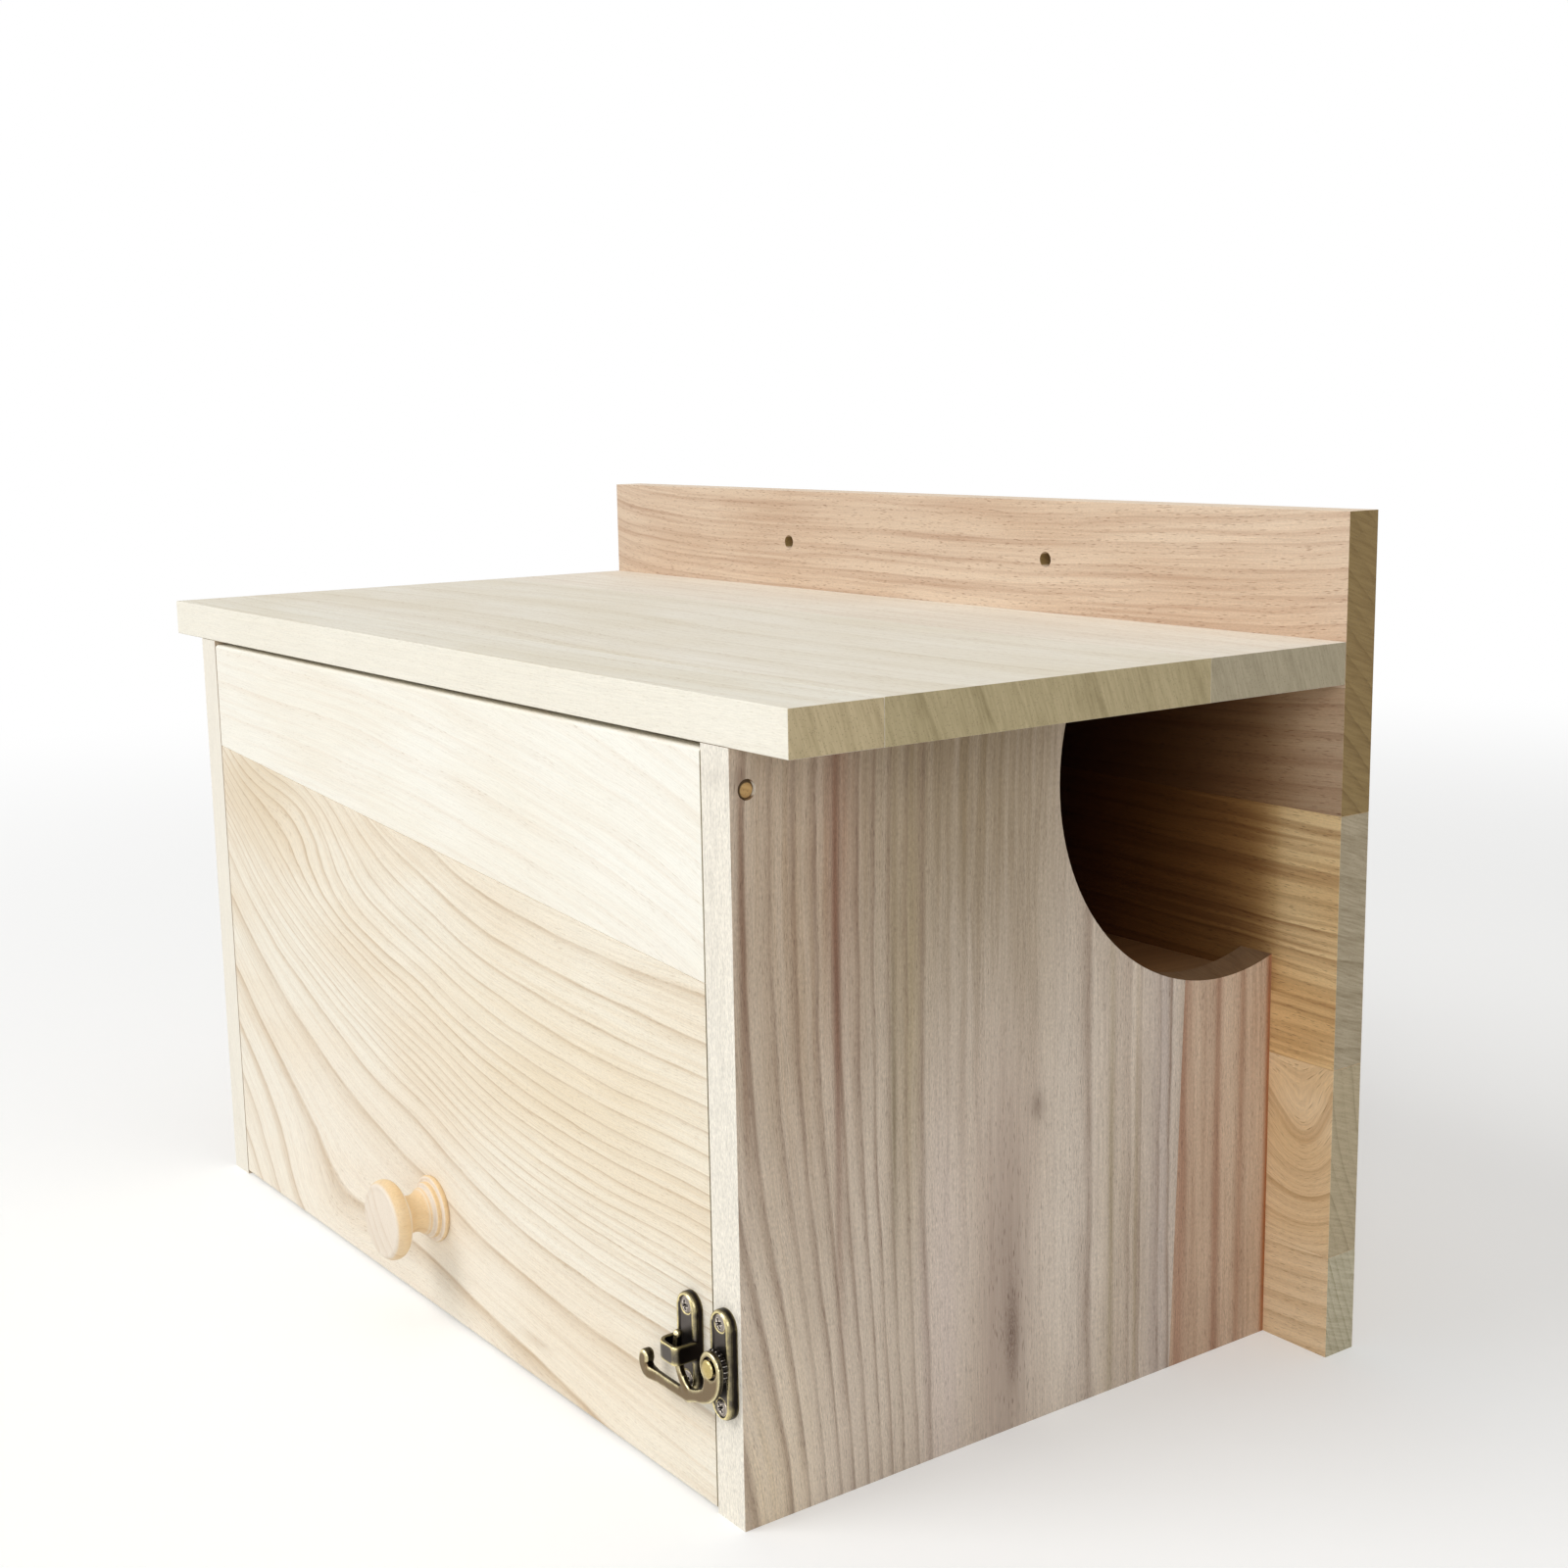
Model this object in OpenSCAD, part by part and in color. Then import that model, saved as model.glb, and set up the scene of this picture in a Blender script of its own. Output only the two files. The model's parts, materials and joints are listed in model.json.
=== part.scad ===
// Wooden wall-hung nest box with a side entrance, a lift-up front door and a swing latch.
// Origin: bottom centre of the back board's rear face. +X is right seen from the front,
// the door faces -Y and +Z is up.

/* [Boards] */
// Thickness of every board
board_t = 12; // [10:0.5:16]
// Height of the back board's foot stave
foot_stave_h = 31; // [24:1:45]
// Height of the back board's lower stave
lower_stave_h = 57; // [48:1:60]
// Height of the back board's upper stave
upper_stave_h = 74.5; // [66:0.5:84]
// Depth of the roof's front stave
roof_front_stave_d = 28; // [20:1:30]
// Depth of the roof's rear stave
roof_rear_stave_d = 54; // [45:1:70]
// Distance of the right side's seam from the back board, at the foot
side_seam_foot = 40.5; // [38:0.5:50]
// Distance of the right side's seam from the back board, at the roof
side_seam_head = 33.3; // [28:0.5:38]
// Depth of the left side's front stave
left_front_stave_d = 110; // [100:1:118]

/* [Box] */
// Width across the side panels
box_w = 336; // [300:1:400]
// Depth from the door's face to the back board
box_d = 192; // [180:1:230]
// Height of the side panels
side_h = 200; // [190:1:250]
// Roof overhang past each side panel
roof_overhang = 24; // [0:1:50]
// Back board overhang past each side panel
back_overhang = 24; // [0:1:50]
// Height of the back board above the roof
back_rise = 36; // [28:1:80]

/* [Wall holes] */
// Diameter of the wall screw holes
wall_hole_d = 5; // [4:0.1:7]
// Distance between the wall screw holes
wall_hole_spacing = 140; // [80:1:280]
// Depth of the wall screw holes below the back board's top
wall_hole_drop = 19; // [8:0.5:22]

/* [Entrance] */
// Radius of the entrance arc
entrance_r = 64.5; // [50:0.5:68]
// Distance of the arc's centre in front of the back board
entrance_inset = 21; // [10:0.5:24]
// Distance of the arc's centre below the roof
entrance_drop = 21; // [10:0.5:24]
// Height of the ledge's upper face
ledge_top = 111; // [96:1:112]
// Width of the ledge inside the entrance
ledge_w = 100; // [60:1:130]

/* [Door] */
// Gap above the door
door_gap_top = 1.5; // [1.5:0.1:3]
// Gap at each end of the door
door_gap_end = 0.5; // [0.3:0.1:1.5]
// Gap under the door
door_gap_foot = 1; // [0.8:0.1:3]
// Gap between the door's inner face and the floor's front edge
door_stop_gap = 0.5; // [0.3:0.1:1]
// Eased edge of the door
door_chamfer = 0.6; // [0.3:0.1:1]
// Height of the glued seam at the door's left end
door_seam_left = 162; // [120:1:170]
// Height of the glued seam at the door's right end
door_seam_right = 140; // [120:1:170]
// Diameter of the hinge dowels
hinge_d = 5; // [4:0.1:6]
// Radial clearance of the hinge dowels in the side panels
hinge_clearance = 0.08; // [0.02:0.01:0.1]
// Distance of the hinge axis behind the door's face
hinge_inset = 5; // [4:0.1:5]
// Distance of the hinge axis below the roof
hinge_drop = 10.5; // [10.5:0.1:14]
// Depth of the hinge dowels in the door
hinge_grip = 20; // [10:1:40]
// Recess of the hinge dowel's end in the side panel
hinge_recess = 0.8; // [0:0.1:1]

/* [Knob] */
// Diameter of the knob's head
knob_head_d = 25; // [20:0.5:32]
// Diameter of the knob's foot
knob_foot_d = 21; // [16:0.5:24]
// Diameter of the knob's neck
knob_neck_d = 11.5; // [10:0.5:13]
// Projection of the knob from the door
knob_reach = 19; // [17:0.5:24]
// Height of the knob's axis
knob_up = 34.5; // [26:0.5:60]

/* [Latch] */
// Height of the latch pivot
latch_up = 43.4; // [38:0.1:60]
// Width of the latch plates
plate_w = 8.9; // [8:0.1:10]
// Thickness of the latch plates
plate_t = 2.8; // [2.2:0.1:3.2]
// Height of the hook's plate
hook_plate_h = 29.3; // [29:0.1:34]
// Distance from the pivot down to the foot of the hook's plate
hook_plate_drop = 14.8; // [13:0.1:16]
// Height of the catch plate
catch_plate_h = 27; // [25:0.1:30]
// Distance from the pivot down to the foot of the catch plate
catch_plate_drop = 12.9; // [12:0.1:14]
// Distance from the pivot to the catch plate's centre line
catch_offset = 15.3; // [15:0.1:15.8]
// Thickness of the hook
hook_t = 1.6; // [1.4:0.1:2.8]
// Diameter of the hook's eye
hook_eye_d = 8.7; // [8.4:0.1:10]
// Thickness of the toothed washer behind the hook
washer_t = 1.6; // [1.2:0.1:2]
// Number of teeth round the washer
washer_teeth = 20; // [12:1:24]
// Diameter of the rivet's shank
rivet_d = 3.2; // [2.6:0.1:3.4]
// Diameter of the rivet's head
rivet_head_d = 4.8; // [4.4:0.1:5.4]
// Running clearance of the hook on its rivet, and at each of its faces
hook_clearance = 0.08; // [0.02:0.01:0.1]
// Radius of the prong's arc round the pivot
prong_arc_r = 15.4; // [15:0.1:15.8]
// Diameter of the prong
prong_d = 2; // [1.6:0.1:2.2]
// Diameter of the prong's ball tip
prong_ball_d = 2.6; // [2.2:0.1:2.8]
// Thickness of the finger lever
lever_t = 3; // [2.6:0.1:3.4]
// Distance from the pivot to the centre of the lever's curl
lever_reach = 29; // [26:0.1:32]
// Distance of the lever below the pivot
lever_drop = 11.6; // [11.2:0.1:11.8]
// Centre-line radius of the lever's curl
curl_r = 2; // [1.9:0.1:3.2]
// Width of the catch loop
loop_w = 9; // [8.6:0.1:9.6]
// Projection of the catch loop from the door
loop_reach = 9; // [8.8:0.1:10]
// Height of the catch loop's band
loop_h = 5; // [4.5:0.1:6]
// Thickness of the catch loop's band
loop_t = 1.2; // [0.8:0.1:1.4]

/* [Fasteners] */
// Diameter of the glued joint dowels
joint_dowel_d = 6; // [5:0.5:6]
// Depth of a joint dowel across a board's thickness
dowel_bite = 8; // [5:0.5:8]
// Depth of a joint dowel in a board's end
dowel_grip = 18; // [12:1:30]
// Head diameter of the back screws
back_screw_head_d = 7; // [6:0.1:8]
// Shank diameter of the back screws
back_screw_d = 3.5; // [3:0.1:4]
// Length of the back screws
back_screw_len = 30; // [25:1:40]
// Head diameter of the latch screws
latch_screw_head_d = 4.6; // [4:0.1:4.8]
// Shank diameter of the latch screws
latch_screw_d = 2.2; // [1.8:0.1:2.4]
// Length of the latch screws
latch_screw_len = 10; // [8:0.5:11]

/* [Hidden] */

round_fn = 64;
overcut = 1;
glue_gap = 0.05;
screw_gap = 0.05;

// Outer faces of the box
front_y = -(board_t + box_d);
back_y = -board_t;
side_x = box_w / 2;
inner_x = side_x - board_t;
side_mid_x = side_x - board_t / 2;
roof_top = side_h + board_t;
back_top = roof_top + back_rise;
roof_x = side_x + roof_overhang;
back_x = side_x + back_overhang;
floor_front_y = front_y + board_t + door_stop_gap;

// Seams between the back board's staves
lower_seam = foot_stave_h;
middle_seam = lower_seam + lower_stave_h;
upper_seam = middle_seam + upper_stave_h;

// Door and its hinge
hinge_y = front_y + hinge_inset;
hinge_z = side_h - hinge_drop;
door_x = inner_x - door_gap_end;
door_top = side_h - door_gap_top;
hinge_dowel_len = hinge_grip + door_gap_end + board_t - hinge_recess;
hinge_end_chamfer = 0.4;
seam_reach = 20;

// Knob
knob_foot_t = 3.2;
knob_bead_r = 0.9;
knob_head_t = 6.4;
knob_dome = 1.2;
knob_screw_d = 4;
knob_screw_head_d = 8;
knob_screw_len = 24;
knob_screw_bite = knob_screw_len - board_t;

// Latch
latch_x = side_mid_x;
catch_x = latch_x - catch_offset;
plate_bevel = 0.8;
plate_screw_inset = 3.4;
latch_screw_vs = [plate_screw_inset - hook_plate_drop,
    hook_plate_h - hook_plate_drop - plate_screw_inset];
catch_screw_vs = [plate_screw_inset - catch_plate_drop,
    catch_plate_h - catch_plate_drop - plate_screw_inset];
washer_out = plate_t;
hook_out = washer_out + washer_t + hook_clearance;
rivet_head_out = hook_out + hook_t + hook_clearance;
rivet_head_t = 1;
rivet_hole_r = rivet_d / 2 + glue_gap;
washer_r = 4.6;
washer_tooth = 0.6;
arm_outer_r = 9.5;
arm_outer_u = -5;
arm_outer_v = -1.2;
arm_inner_r = 5.35;
arm_inner_u = -8.1;
arm_inner_v = -3.8;
arm_cut_left_v = -7;
arm_cut_right_v = -2;
web_left_u = -14.6;
web_left_v = -8;
web_foot_u = -13.4;
lever_bend_u = -10.5;
lever_root_v = -9.1;
prong_top_angle = 165;
prong_sweep = 48;
prong_out = hook_out + hook_t / 2;
loop_corner_r = 2.5;
loop_foot = -2.9;

// Screw positions as [x, z] on the back board
left_screw_heights = [60, 125, 185];
right_screw_heights = [60, 105];
long_edge_screw_xs = [-110, 0, 110];
ledge_mid_x = inner_x - ledge_w / 2;
ledge_mid_z = ledge_top - board_t / 2;
back_screw_points = concat(
    [for (z = left_screw_heights) [-side_mid_x, z]],
    [for (z = right_screw_heights) [side_mid_x, z]],
    [for (x = long_edge_screw_xs) [x, side_h + board_t / 2]],
    [for (x = long_edge_screw_xs) [x, board_t / 2]],
    [[ledge_mid_x, ledge_mid_z]]);
back_screw_sink = 0.3;
screw_lip = 0.4;

// Dowel positions measured back from the front face
roof_dowel_ins = [36, 90];
roof_left_dowel_in = 160;
floor_dowel_ins = [45, 125];
ledge_dowel_ins = [60, 125];

// Block between two opposite corners
module block(low, high) {
    translate(low) cube(high - low);
}

// Countersunk screw along +Z with its flat head at z = 0
module screw(head_d, shank_d, length, gap = 0) {
    head_r = head_d / 2 + gap;
    shank_r = shank_d / 2 + gap;
    cone = (head_d - shank_d) / 2;
    rotate_extrude($fn = round_fn)
        polygon([[0, -gap], [head_r, -gap], [head_r, screw_lip], [shank_r, screw_lip + cone],
            [shank_r, length - shank_d + gap], [0, length + gap]]);
}

// Cross recess for a screw's head
module cross_recess(head_d, depth) {
    arm = head_d * 0.62;
    slot = head_d * 0.15;
    for (turn = [0, 90])
        rotate([0, 0, turn])
            translate([-arm / 2, -slot / 2, -overcut]) cube([arm, slot, depth + overcut]);
}

module driven_screw(head_d, shank_d, length) {
    difference() {
        screw(head_d, shank_d, length);
        cross_recess(head_d, head_d * 0.22);
    }
}

// Holes that the back screws pass through or bite into
module back_screw_holes() {
    for (p = back_screw_points)
        translate([p[0], -back_screw_sink, p[1]]) rotate([90, 0, 0]) {
            screw(back_screw_head_d, back_screw_d, back_screw_len, screw_gap);
            translate([0, 0, -overcut]) cylinder(r = back_screw_head_d / 2 + screw_gap,
                h = overcut + screw_lip, $fn = round_fn);
        }
}

// Joint dowel along +Z, centred across the joint, with its bite below z = 0
module joint_dowel(gap = 0) {
    translate([0, 0, -dowel_bite - gap])
        cylinder(r = joint_dowel_d / 2 + gap, h = dowel_bite + dowel_grip + 2 * gap, $fn = round_fn);
}

module roof_dowel_set(gap = 0) {
    for (side = [-1, 1], inset = roof_dowel_ins)
        translate([side * side_mid_x, front_y + inset, side_h]) rotate([180, 0, 0]) joint_dowel(gap);
    translate([-side_mid_x, front_y + roof_left_dowel_in, side_h]) rotate([180, 0, 0]) joint_dowel(gap);
}

module floor_dowel_set(gap = 0) {
    for (side = [-1, 1], inset = floor_dowel_ins)
        translate([side * inner_x, front_y + inset, board_t / 2])
            rotate([0, -side * 90, 0]) joint_dowel(gap);
}

module ledge_dowel_set(gap = 0) {
    for (inset = ledge_dowel_ins)
        translate([inner_x, front_y + inset, ledge_mid_z]) rotate([0, -90, 0]) joint_dowel(gap);
}

// One stave of the back board between two heights
module back_stave(low, high) {
    difference() {
        block([-back_x, back_y, low], [back_x, 0, high]);
        back_screw_holes();
        for (side = [-1, 1])
            translate([side * wall_hole_spacing / 2, back_y - overcut, back_top - wall_hole_drop])
                rotate([-90, 0, 0]) cylinder(d = wall_hole_d, h = board_t + 2 * overcut, $fn = round_fn);
    }
}

// One stave of the roof between two distances from the front
module roof_stave(near, far) {
    difference() {
        block([-roof_x, front_y + near, side_h], [roof_x, front_y + far, roof_top]);
        back_screw_holes();
        roof_dowel_set(glue_gap);
    }
}

// Side panel at side -1 or 1 with its fastener holes
module side_blank(side) {
    difference() {
        block([min(side * inner_x, side * side_x), front_y, 0],
            [max(side * inner_x, side * side_x), back_y, side_h]);
        back_screw_holes();
        roof_dowel_set(glue_gap);
        floor_dowel_set(glue_gap);
        translate([side * side_mid_x, hinge_y, hinge_z]) rotate([0, 90, 0])
            cylinder(r = hinge_d / 2 + hinge_clearance, h = board_t + 2 * overcut, center = true,
                $fn = round_fn);
    }
}

module right_blank() {
    difference() {
        side_blank(1);
        ledge_dowel_set(glue_gap);
        latch_screw_set(screw_gap);
        latch_rivet_tail(glue_gap);
        translate([side_mid_x, back_y - entrance_inset, side_h - entrance_drop]) rotate([0, 90, 0])
            cylinder(r = entrance_r, h = board_t + 2 * overcut, center = true, $fn = 2 * round_fn);
    }
}

// Upright wedge behind the right side's seam
module behind_side_seam() {
    translate([inner_x - overcut, 0, 0]) rotate([90, 0, 90])
        linear_extrude(height = board_t + 2 * overcut)
            polygon([[back_y - side_seam_foot, 0], [back_y + overcut, 0], [back_y + overcut, side_h],
                [back_y - side_seam_head, side_h]]);
}

// Door board with eased long edges
module door_blank() {
    y0 = front_y;
    y1 = front_y + board_t;
    translate([-door_x, 0, 0]) rotate([90, 0, 90]) linear_extrude(height = 2 * door_x)
        polygon([[y0 + door_chamfer, door_gap_foot], [y1 - door_chamfer, door_gap_foot],
            [y1, door_gap_foot + door_chamfer], [y1, door_top - door_chamfer],
            [y1 - door_chamfer, door_top], [y0 + door_chamfer, door_top],
            [y0, door_top - door_chamfer], [y0, door_gap_foot + door_chamfer]]);
}

// Everything above the door's slanted seam
module above_door_seam() {
    slope = (door_seam_right - door_seam_left) / (2 * door_x);
    reach = door_x + seam_reach;
    translate([0, front_y + board_t + overcut, 0]) rotate([90, 0, 0])
        linear_extrude(height = board_t + 2 * overcut)
            polygon([[-reach, door_seam_left - slope * seam_reach],
                [reach, door_seam_right + slope * seam_reach], [reach, side_h], [-reach, side_h]]);
}

module door_holes() {
    for (side = [-1, 1])
        translate([side * (door_x - hinge_grip / 2), hinge_y, hinge_z]) rotate([0, 90, 0])
            cylinder(r = hinge_d / 2 + glue_gap, h = hinge_grip + 2 * overcut, center = true,
                $fn = round_fn);
    translate([0, front_y + board_t, knob_up]) rotate([90, 0, 0])
        screw(knob_screw_head_d, knob_screw_d, knob_screw_len, screw_gap);
    catch_screw_set(screw_gap);
}

// Dowel that is glued in the door and turns in the side panel
module hinge_dowel(side) {
    start = door_x - hinge_grip;
    translate([side * start, hinge_y, hinge_z]) rotate([0, side * 90, 0]) rotate_extrude($fn = round_fn)
        polygon([[0, 0], [hinge_d / 2, 0], [hinge_d / 2, hinge_dowel_len - hinge_end_chamfer],
            [hinge_d / 2 - hinge_end_chamfer, hinge_dowel_len], [0, hinge_dowel_len]]);
}

// Half outline of the turned knob, as radius and distance from the door
module knob_profile() {
    foot_r = knob_foot_d / 2;
    neck_r = knob_neck_d / 2;
    head_r = knob_head_d / 2;
    head_start = knob_reach - knob_head_t;
    neck_fillet_r = (head_start - knob_foot_t) / 2;
    difference() {
        union() {
            square([foot_r - knob_bead_r, knob_foot_t]);
            translate([foot_r - knob_bead_r, knob_bead_r]) circle(r = knob_bead_r, $fn = round_fn);
            translate([foot_r - 2.4 * knob_bead_r, knob_foot_t - knob_bead_r / 2])
                circle(r = knob_bead_r, $fn = round_fn);
            square([neck_r + neck_fillet_r, head_start + overcut]);
            translate([0, head_start]) square([head_r - knob_head_t / 2, knob_head_t - knob_dome]);
            translate([head_r - knob_head_t / 2, head_start + knob_head_t / 2])
                intersection() {
                    circle(r = knob_head_t / 2, $fn = round_fn);
                    translate([-knob_head_t / 2, -knob_head_t / 2])
                        square([knob_head_t, knob_head_t - knob_dome / 2]);
                }
            polygon([[0, knob_reach - knob_dome], [head_r - knob_head_t / 2, knob_reach - knob_dome],
                [head_r - knob_head_t / 2, knob_reach - knob_dome / 2], [head_r / 3, knob_reach],
                [0, knob_reach]]);
        }
        translate([neck_r + neck_fillet_r, knob_foot_t + neck_fillet_r])
            circle(r = neck_fillet_r, $fn = round_fn);
        translate([neck_r + neck_fillet_r, knob_foot_t + knob_bead_r])
            square([neck_fillet_r, head_start - knob_foot_t - knob_bead_r]);
    }
}

// Outline of an upright plate with round ends, from its foot up
module stadium(width, height) {
    translate([0, width / 2]) circle(d = width, $fn = round_fn);
    translate([0, height - width / 2]) circle(d = width, $fn = round_fn);
    translate([-width / 2, width / 2]) square([width, height - width]);
}

// Upright plate with a stepped rim; local Z points out of the box's front
module bevelled_plate(width, height, thick) {
    linear_extrude(height = thick - plate_bevel) stadium(width, height);
    translate([0, plate_bevel, 0]) linear_extrude(height = thick)
        stadium(width - 2 * plate_bevel, height - 2 * plate_bevel);
}

// Local frame on the box's front face at a given X: X right, Y up, Z out of the box
module on_front(x) {
    translate([x, front_y, latch_up]) rotate([90, 0, 0]) children();
}

module latch_screw_set(gap = 0) {
    for (v = latch_screw_vs)
        on_front(latch_x) translate([0, v, plate_t]) rotate([180, 0, 0])
            screw(latch_screw_head_d, latch_screw_d, latch_screw_len, gap);
}

module catch_screw_set(gap = 0) {
    for (v = catch_screw_vs)
        on_front(catch_x) translate([0, v, plate_t]) rotate([180, 0, 0])
            screw(latch_screw_head_d, latch_screw_d, latch_screw_len, gap);
}

// Upset end of the rivet behind its plate
module latch_rivet_tail(gap = 0) {
    tail_t = 1;
    on_front(latch_x) translate([0, 0, -tail_t - gap])
        cylinder(r = rivet_head_d / 2 + gap, h = tail_t + gap, $fn = round_fn);
}

// Straight bar with round ends between two points
module rounded_bar(from, to, width) {
    step = to - from;
    translate(from) rotate([0, 0, atan2(step[1], step[0])]) {
        translate([0, -width / 2]) square([norm(step), width]);
        circle(d = width, $fn = round_fn);
        translate([norm(step), 0]) circle(d = width, $fn = round_fn);
    }
}

// Flat outline of the hook round its pivot: eye, curved arm, web under the prong, lever and
// upturned finger curl
module hook_outline() {
    curl_v = curl_r - lever_drop;
    circle(d = hook_eye_d, $fn = round_fn);
    difference() {
        union() {
            translate([arm_outer_u, arm_outer_v]) circle(r = arm_outer_r, $fn = 2 * round_fn);
            polygon([[web_left_u, web_left_v], [arm_inner_u, arm_inner_v],
                [arm_inner_u, -lever_drop], [web_foot_u, -lever_drop]]);
        }
        translate([arm_inner_u, arm_inner_v]) circle(r = arm_inner_r, $fn = 2 * round_fn);
        polygon([[-2 * arm_outer_r, arm_cut_left_v], [arm_outer_u, arm_cut_left_v],
            [arm_outer_u, arm_cut_right_v], [arm_outer_r, arm_cut_right_v],
            [arm_outer_r, arm_outer_r], [-2 * arm_outer_r, arm_outer_r]]);
    }
    rounded_bar([-lever_reach, -lever_drop], [lever_bend_u, -lever_drop], lever_t);
    rounded_bar([lever_bend_u, -lever_drop], [arm_outer_u, lever_root_v], lever_t);
    difference() {
        translate([-lever_reach, curl_v]) circle(r = curl_r + lever_t / 2, $fn = round_fn);
        translate([-lever_reach, curl_v]) circle(r = curl_r - lever_t / 2, $fn = round_fn);
        translate([-lever_reach, -2 * lever_drop]) square([2 * lever_drop, 3 * lever_drop]);
    }
    translate([-lever_reach, curl_v + curl_r]) circle(d = lever_t, $fn = round_fn);
}

// Prong bent to an arc round the pivot, so that it slides up through the catch loop
module prong() {
    rotate([0, 0, prong_top_angle]) rotate_extrude(angle = prong_sweep, $fn = 2 * round_fn)
        translate([prong_arc_r, 0]) circle(d = prong_d, $fn = round_fn);
    rotate([0, 0, prong_top_angle]) translate([prong_arc_r, 0, 0]) sphere(d = prong_ball_d, $fn = round_fn);
}

// Plan of the catch loop's band: across the door and out of it
module loop_plan(width, reach, corner) {
    translate([-width / 2, 0]) square([width, reach - corner]);
    translate([corner - width / 2, 0]) square([width - 2 * corner, reach]);
    for (side = [-1, 1])
        translate([side * (width / 2 - corner), reach - corner]) circle(r = corner, $fn = round_fn);
}

module back_foot_stave() { color("burlywood") back_stave(0, lower_seam); }
module back_lower_stave() { color("burlywood") back_stave(lower_seam, middle_seam); }
module back_upper_stave() { color("tan") back_stave(middle_seam, upper_seam); }
module back_top_stave() { color("burlywood") back_stave(upper_seam, back_top); }

module roof_front_stave() { color("cornsilk") roof_stave(0, roof_front_stave_d); }
module roof_middle_stave() { color("wheat") roof_stave(roof_front_stave_d, box_d - roof_rear_stave_d); }
module roof_rear_stave() { color("cornsilk") roof_stave(box_d - roof_rear_stave_d, box_d); }

module left_front_stave() {
    color("tan") intersection() {
        side_blank(-1);
        block([-side_x, front_y, 0], [-inner_x, front_y + left_front_stave_d, side_h]);
    }
}

module left_rear_stave() {
    color("burlywood") intersection() {
        side_blank(-1);
        block([-side_x, front_y + left_front_stave_d, 0], [-inner_x, back_y, side_h]);
    }
}

module right_front_stave() {
    color("tan") difference() {
        right_blank();
        behind_side_seam();
    }
}

module right_rear_stave() {
    color("rosybrown") intersection() {
        right_blank();
        behind_side_seam();
    }
}

module floor_board() {
    color("burlywood") difference() {
        block([-inner_x, floor_front_y, 0], [inner_x, back_y, board_t]);
        back_screw_holes();
        floor_dowel_set(glue_gap);
    }
}

module entrance_ledge() {
    color("tan") difference() {
        block([inner_x - ledge_w, floor_front_y, ledge_top - board_t], [inner_x, back_y, ledge_top]);
        back_screw_holes();
        ledge_dowel_set(glue_gap);
    }
}

module door_upper_board() {
    color("cornsilk") difference() {
        intersection() {
            door_blank();
            above_door_seam();
        }
        door_holes();
    }
}

module door_lower_board() {
    color("wheat") difference() {
        door_blank();
        above_door_seam();
        door_holes();
    }
}

module left_hinge_dowel() { color("peru") hinge_dowel(-1); }
module right_hinge_dowel() { color("peru") hinge_dowel(1); }

module door_knob() {
    color("navajowhite") translate([0, front_y, knob_up]) rotate([90, 0, 0]) difference() {
        rotate_extrude($fn = 2 * round_fn) knob_profile();
        translate([0, 0, -overcut])
            cylinder(r = knob_screw_d / 2 + screw_gap, h = knob_screw_bite + overcut + screw_gap,
                $fn = round_fn);
    }
}

module knob_screw() {
    color("silver") translate([0, front_y + board_t, knob_up]) rotate([90, 0, 0])
        driven_screw(knob_screw_head_d, knob_screw_d, knob_screw_len);
}

module latch_plate() {
    color("darkgoldenrod") difference() {
        on_front(latch_x) difference() {
            translate([0, -hook_plate_drop, 0]) bevelled_plate(plate_w, hook_plate_h, plate_t);
            translate([0, 0, -overcut])
                cylinder(r = rivet_hole_r, h = plate_t + 2 * overcut, $fn = round_fn);
        }
        latch_screw_set(screw_gap);
    }
}

module latch_washer() {
    root_r = washer_r - washer_tooth;
    color("saddlebrown") on_front(latch_x) translate([0, 0, washer_out])
        linear_extrude(height = washer_t) difference() {
            polygon([for (i = [0 : 2 * washer_teeth - 1])
                let (r = i % 2 == 0 ? washer_r : root_r, a = i * 180 / washer_teeth)
                [r * cos(a), r * sin(a)]]);
            circle(r = rivet_hole_r, $fn = round_fn);
        }
}

module latch_rivet() {
    color("gold") {
        latch_rivet_tail();
        on_front(latch_x) {
            translate([0, 0, -glue_gap]) cylinder(d = rivet_d, h = rivet_head_out + 2 * glue_gap,
                $fn = round_fn);
            translate([0, 0, rivet_head_out]) rotate_extrude($fn = round_fn)
                polygon([[0, 0], [rivet_head_d / 2, 0], [rivet_head_d / 2, rivet_head_t / 2],
                    [rivet_head_d / 3, rivet_head_t], [0, rivet_head_t]]);
        }
    }
}

module latch_hook() {
    color("olive") on_front(latch_x) difference() {
        union() {
            translate([0, 0, hook_out]) linear_extrude(height = hook_t) hook_outline();
            translate([0, 0, prong_out]) prong();
        }
        translate([0, 0, hook_out - overcut])
            cylinder(r = rivet_d / 2 + hook_clearance, h = hook_t + 2 * overcut, $fn = round_fn);
    }
}

module latch_screws() {
    color("dimgray") for (v = latch_screw_vs)
        on_front(latch_x) translate([0, v, plate_t]) rotate([180, 0, 0])
            driven_screw(latch_screw_head_d, latch_screw_d, latch_screw_len);
}

module catch_plate() {
    color("darkgoldenrod") difference() {
        on_front(catch_x) {
            translate([0, -catch_plate_drop, 0]) bevelled_plate(plate_w, catch_plate_h, plate_t);
            translate([0, loop_foot + loop_h, 0]) rotate([90, 0, 0]) linear_extrude(height = loop_h)
                difference() {
                    loop_plan(loop_w, loop_reach, loop_corner_r);
                    translate([0, -overcut]) loop_plan(loop_w - 2 * loop_t,
                        loop_reach - loop_t + overcut, loop_corner_r - loop_t);
                }
        }
        catch_screw_set(screw_gap);
    }
}

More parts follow.
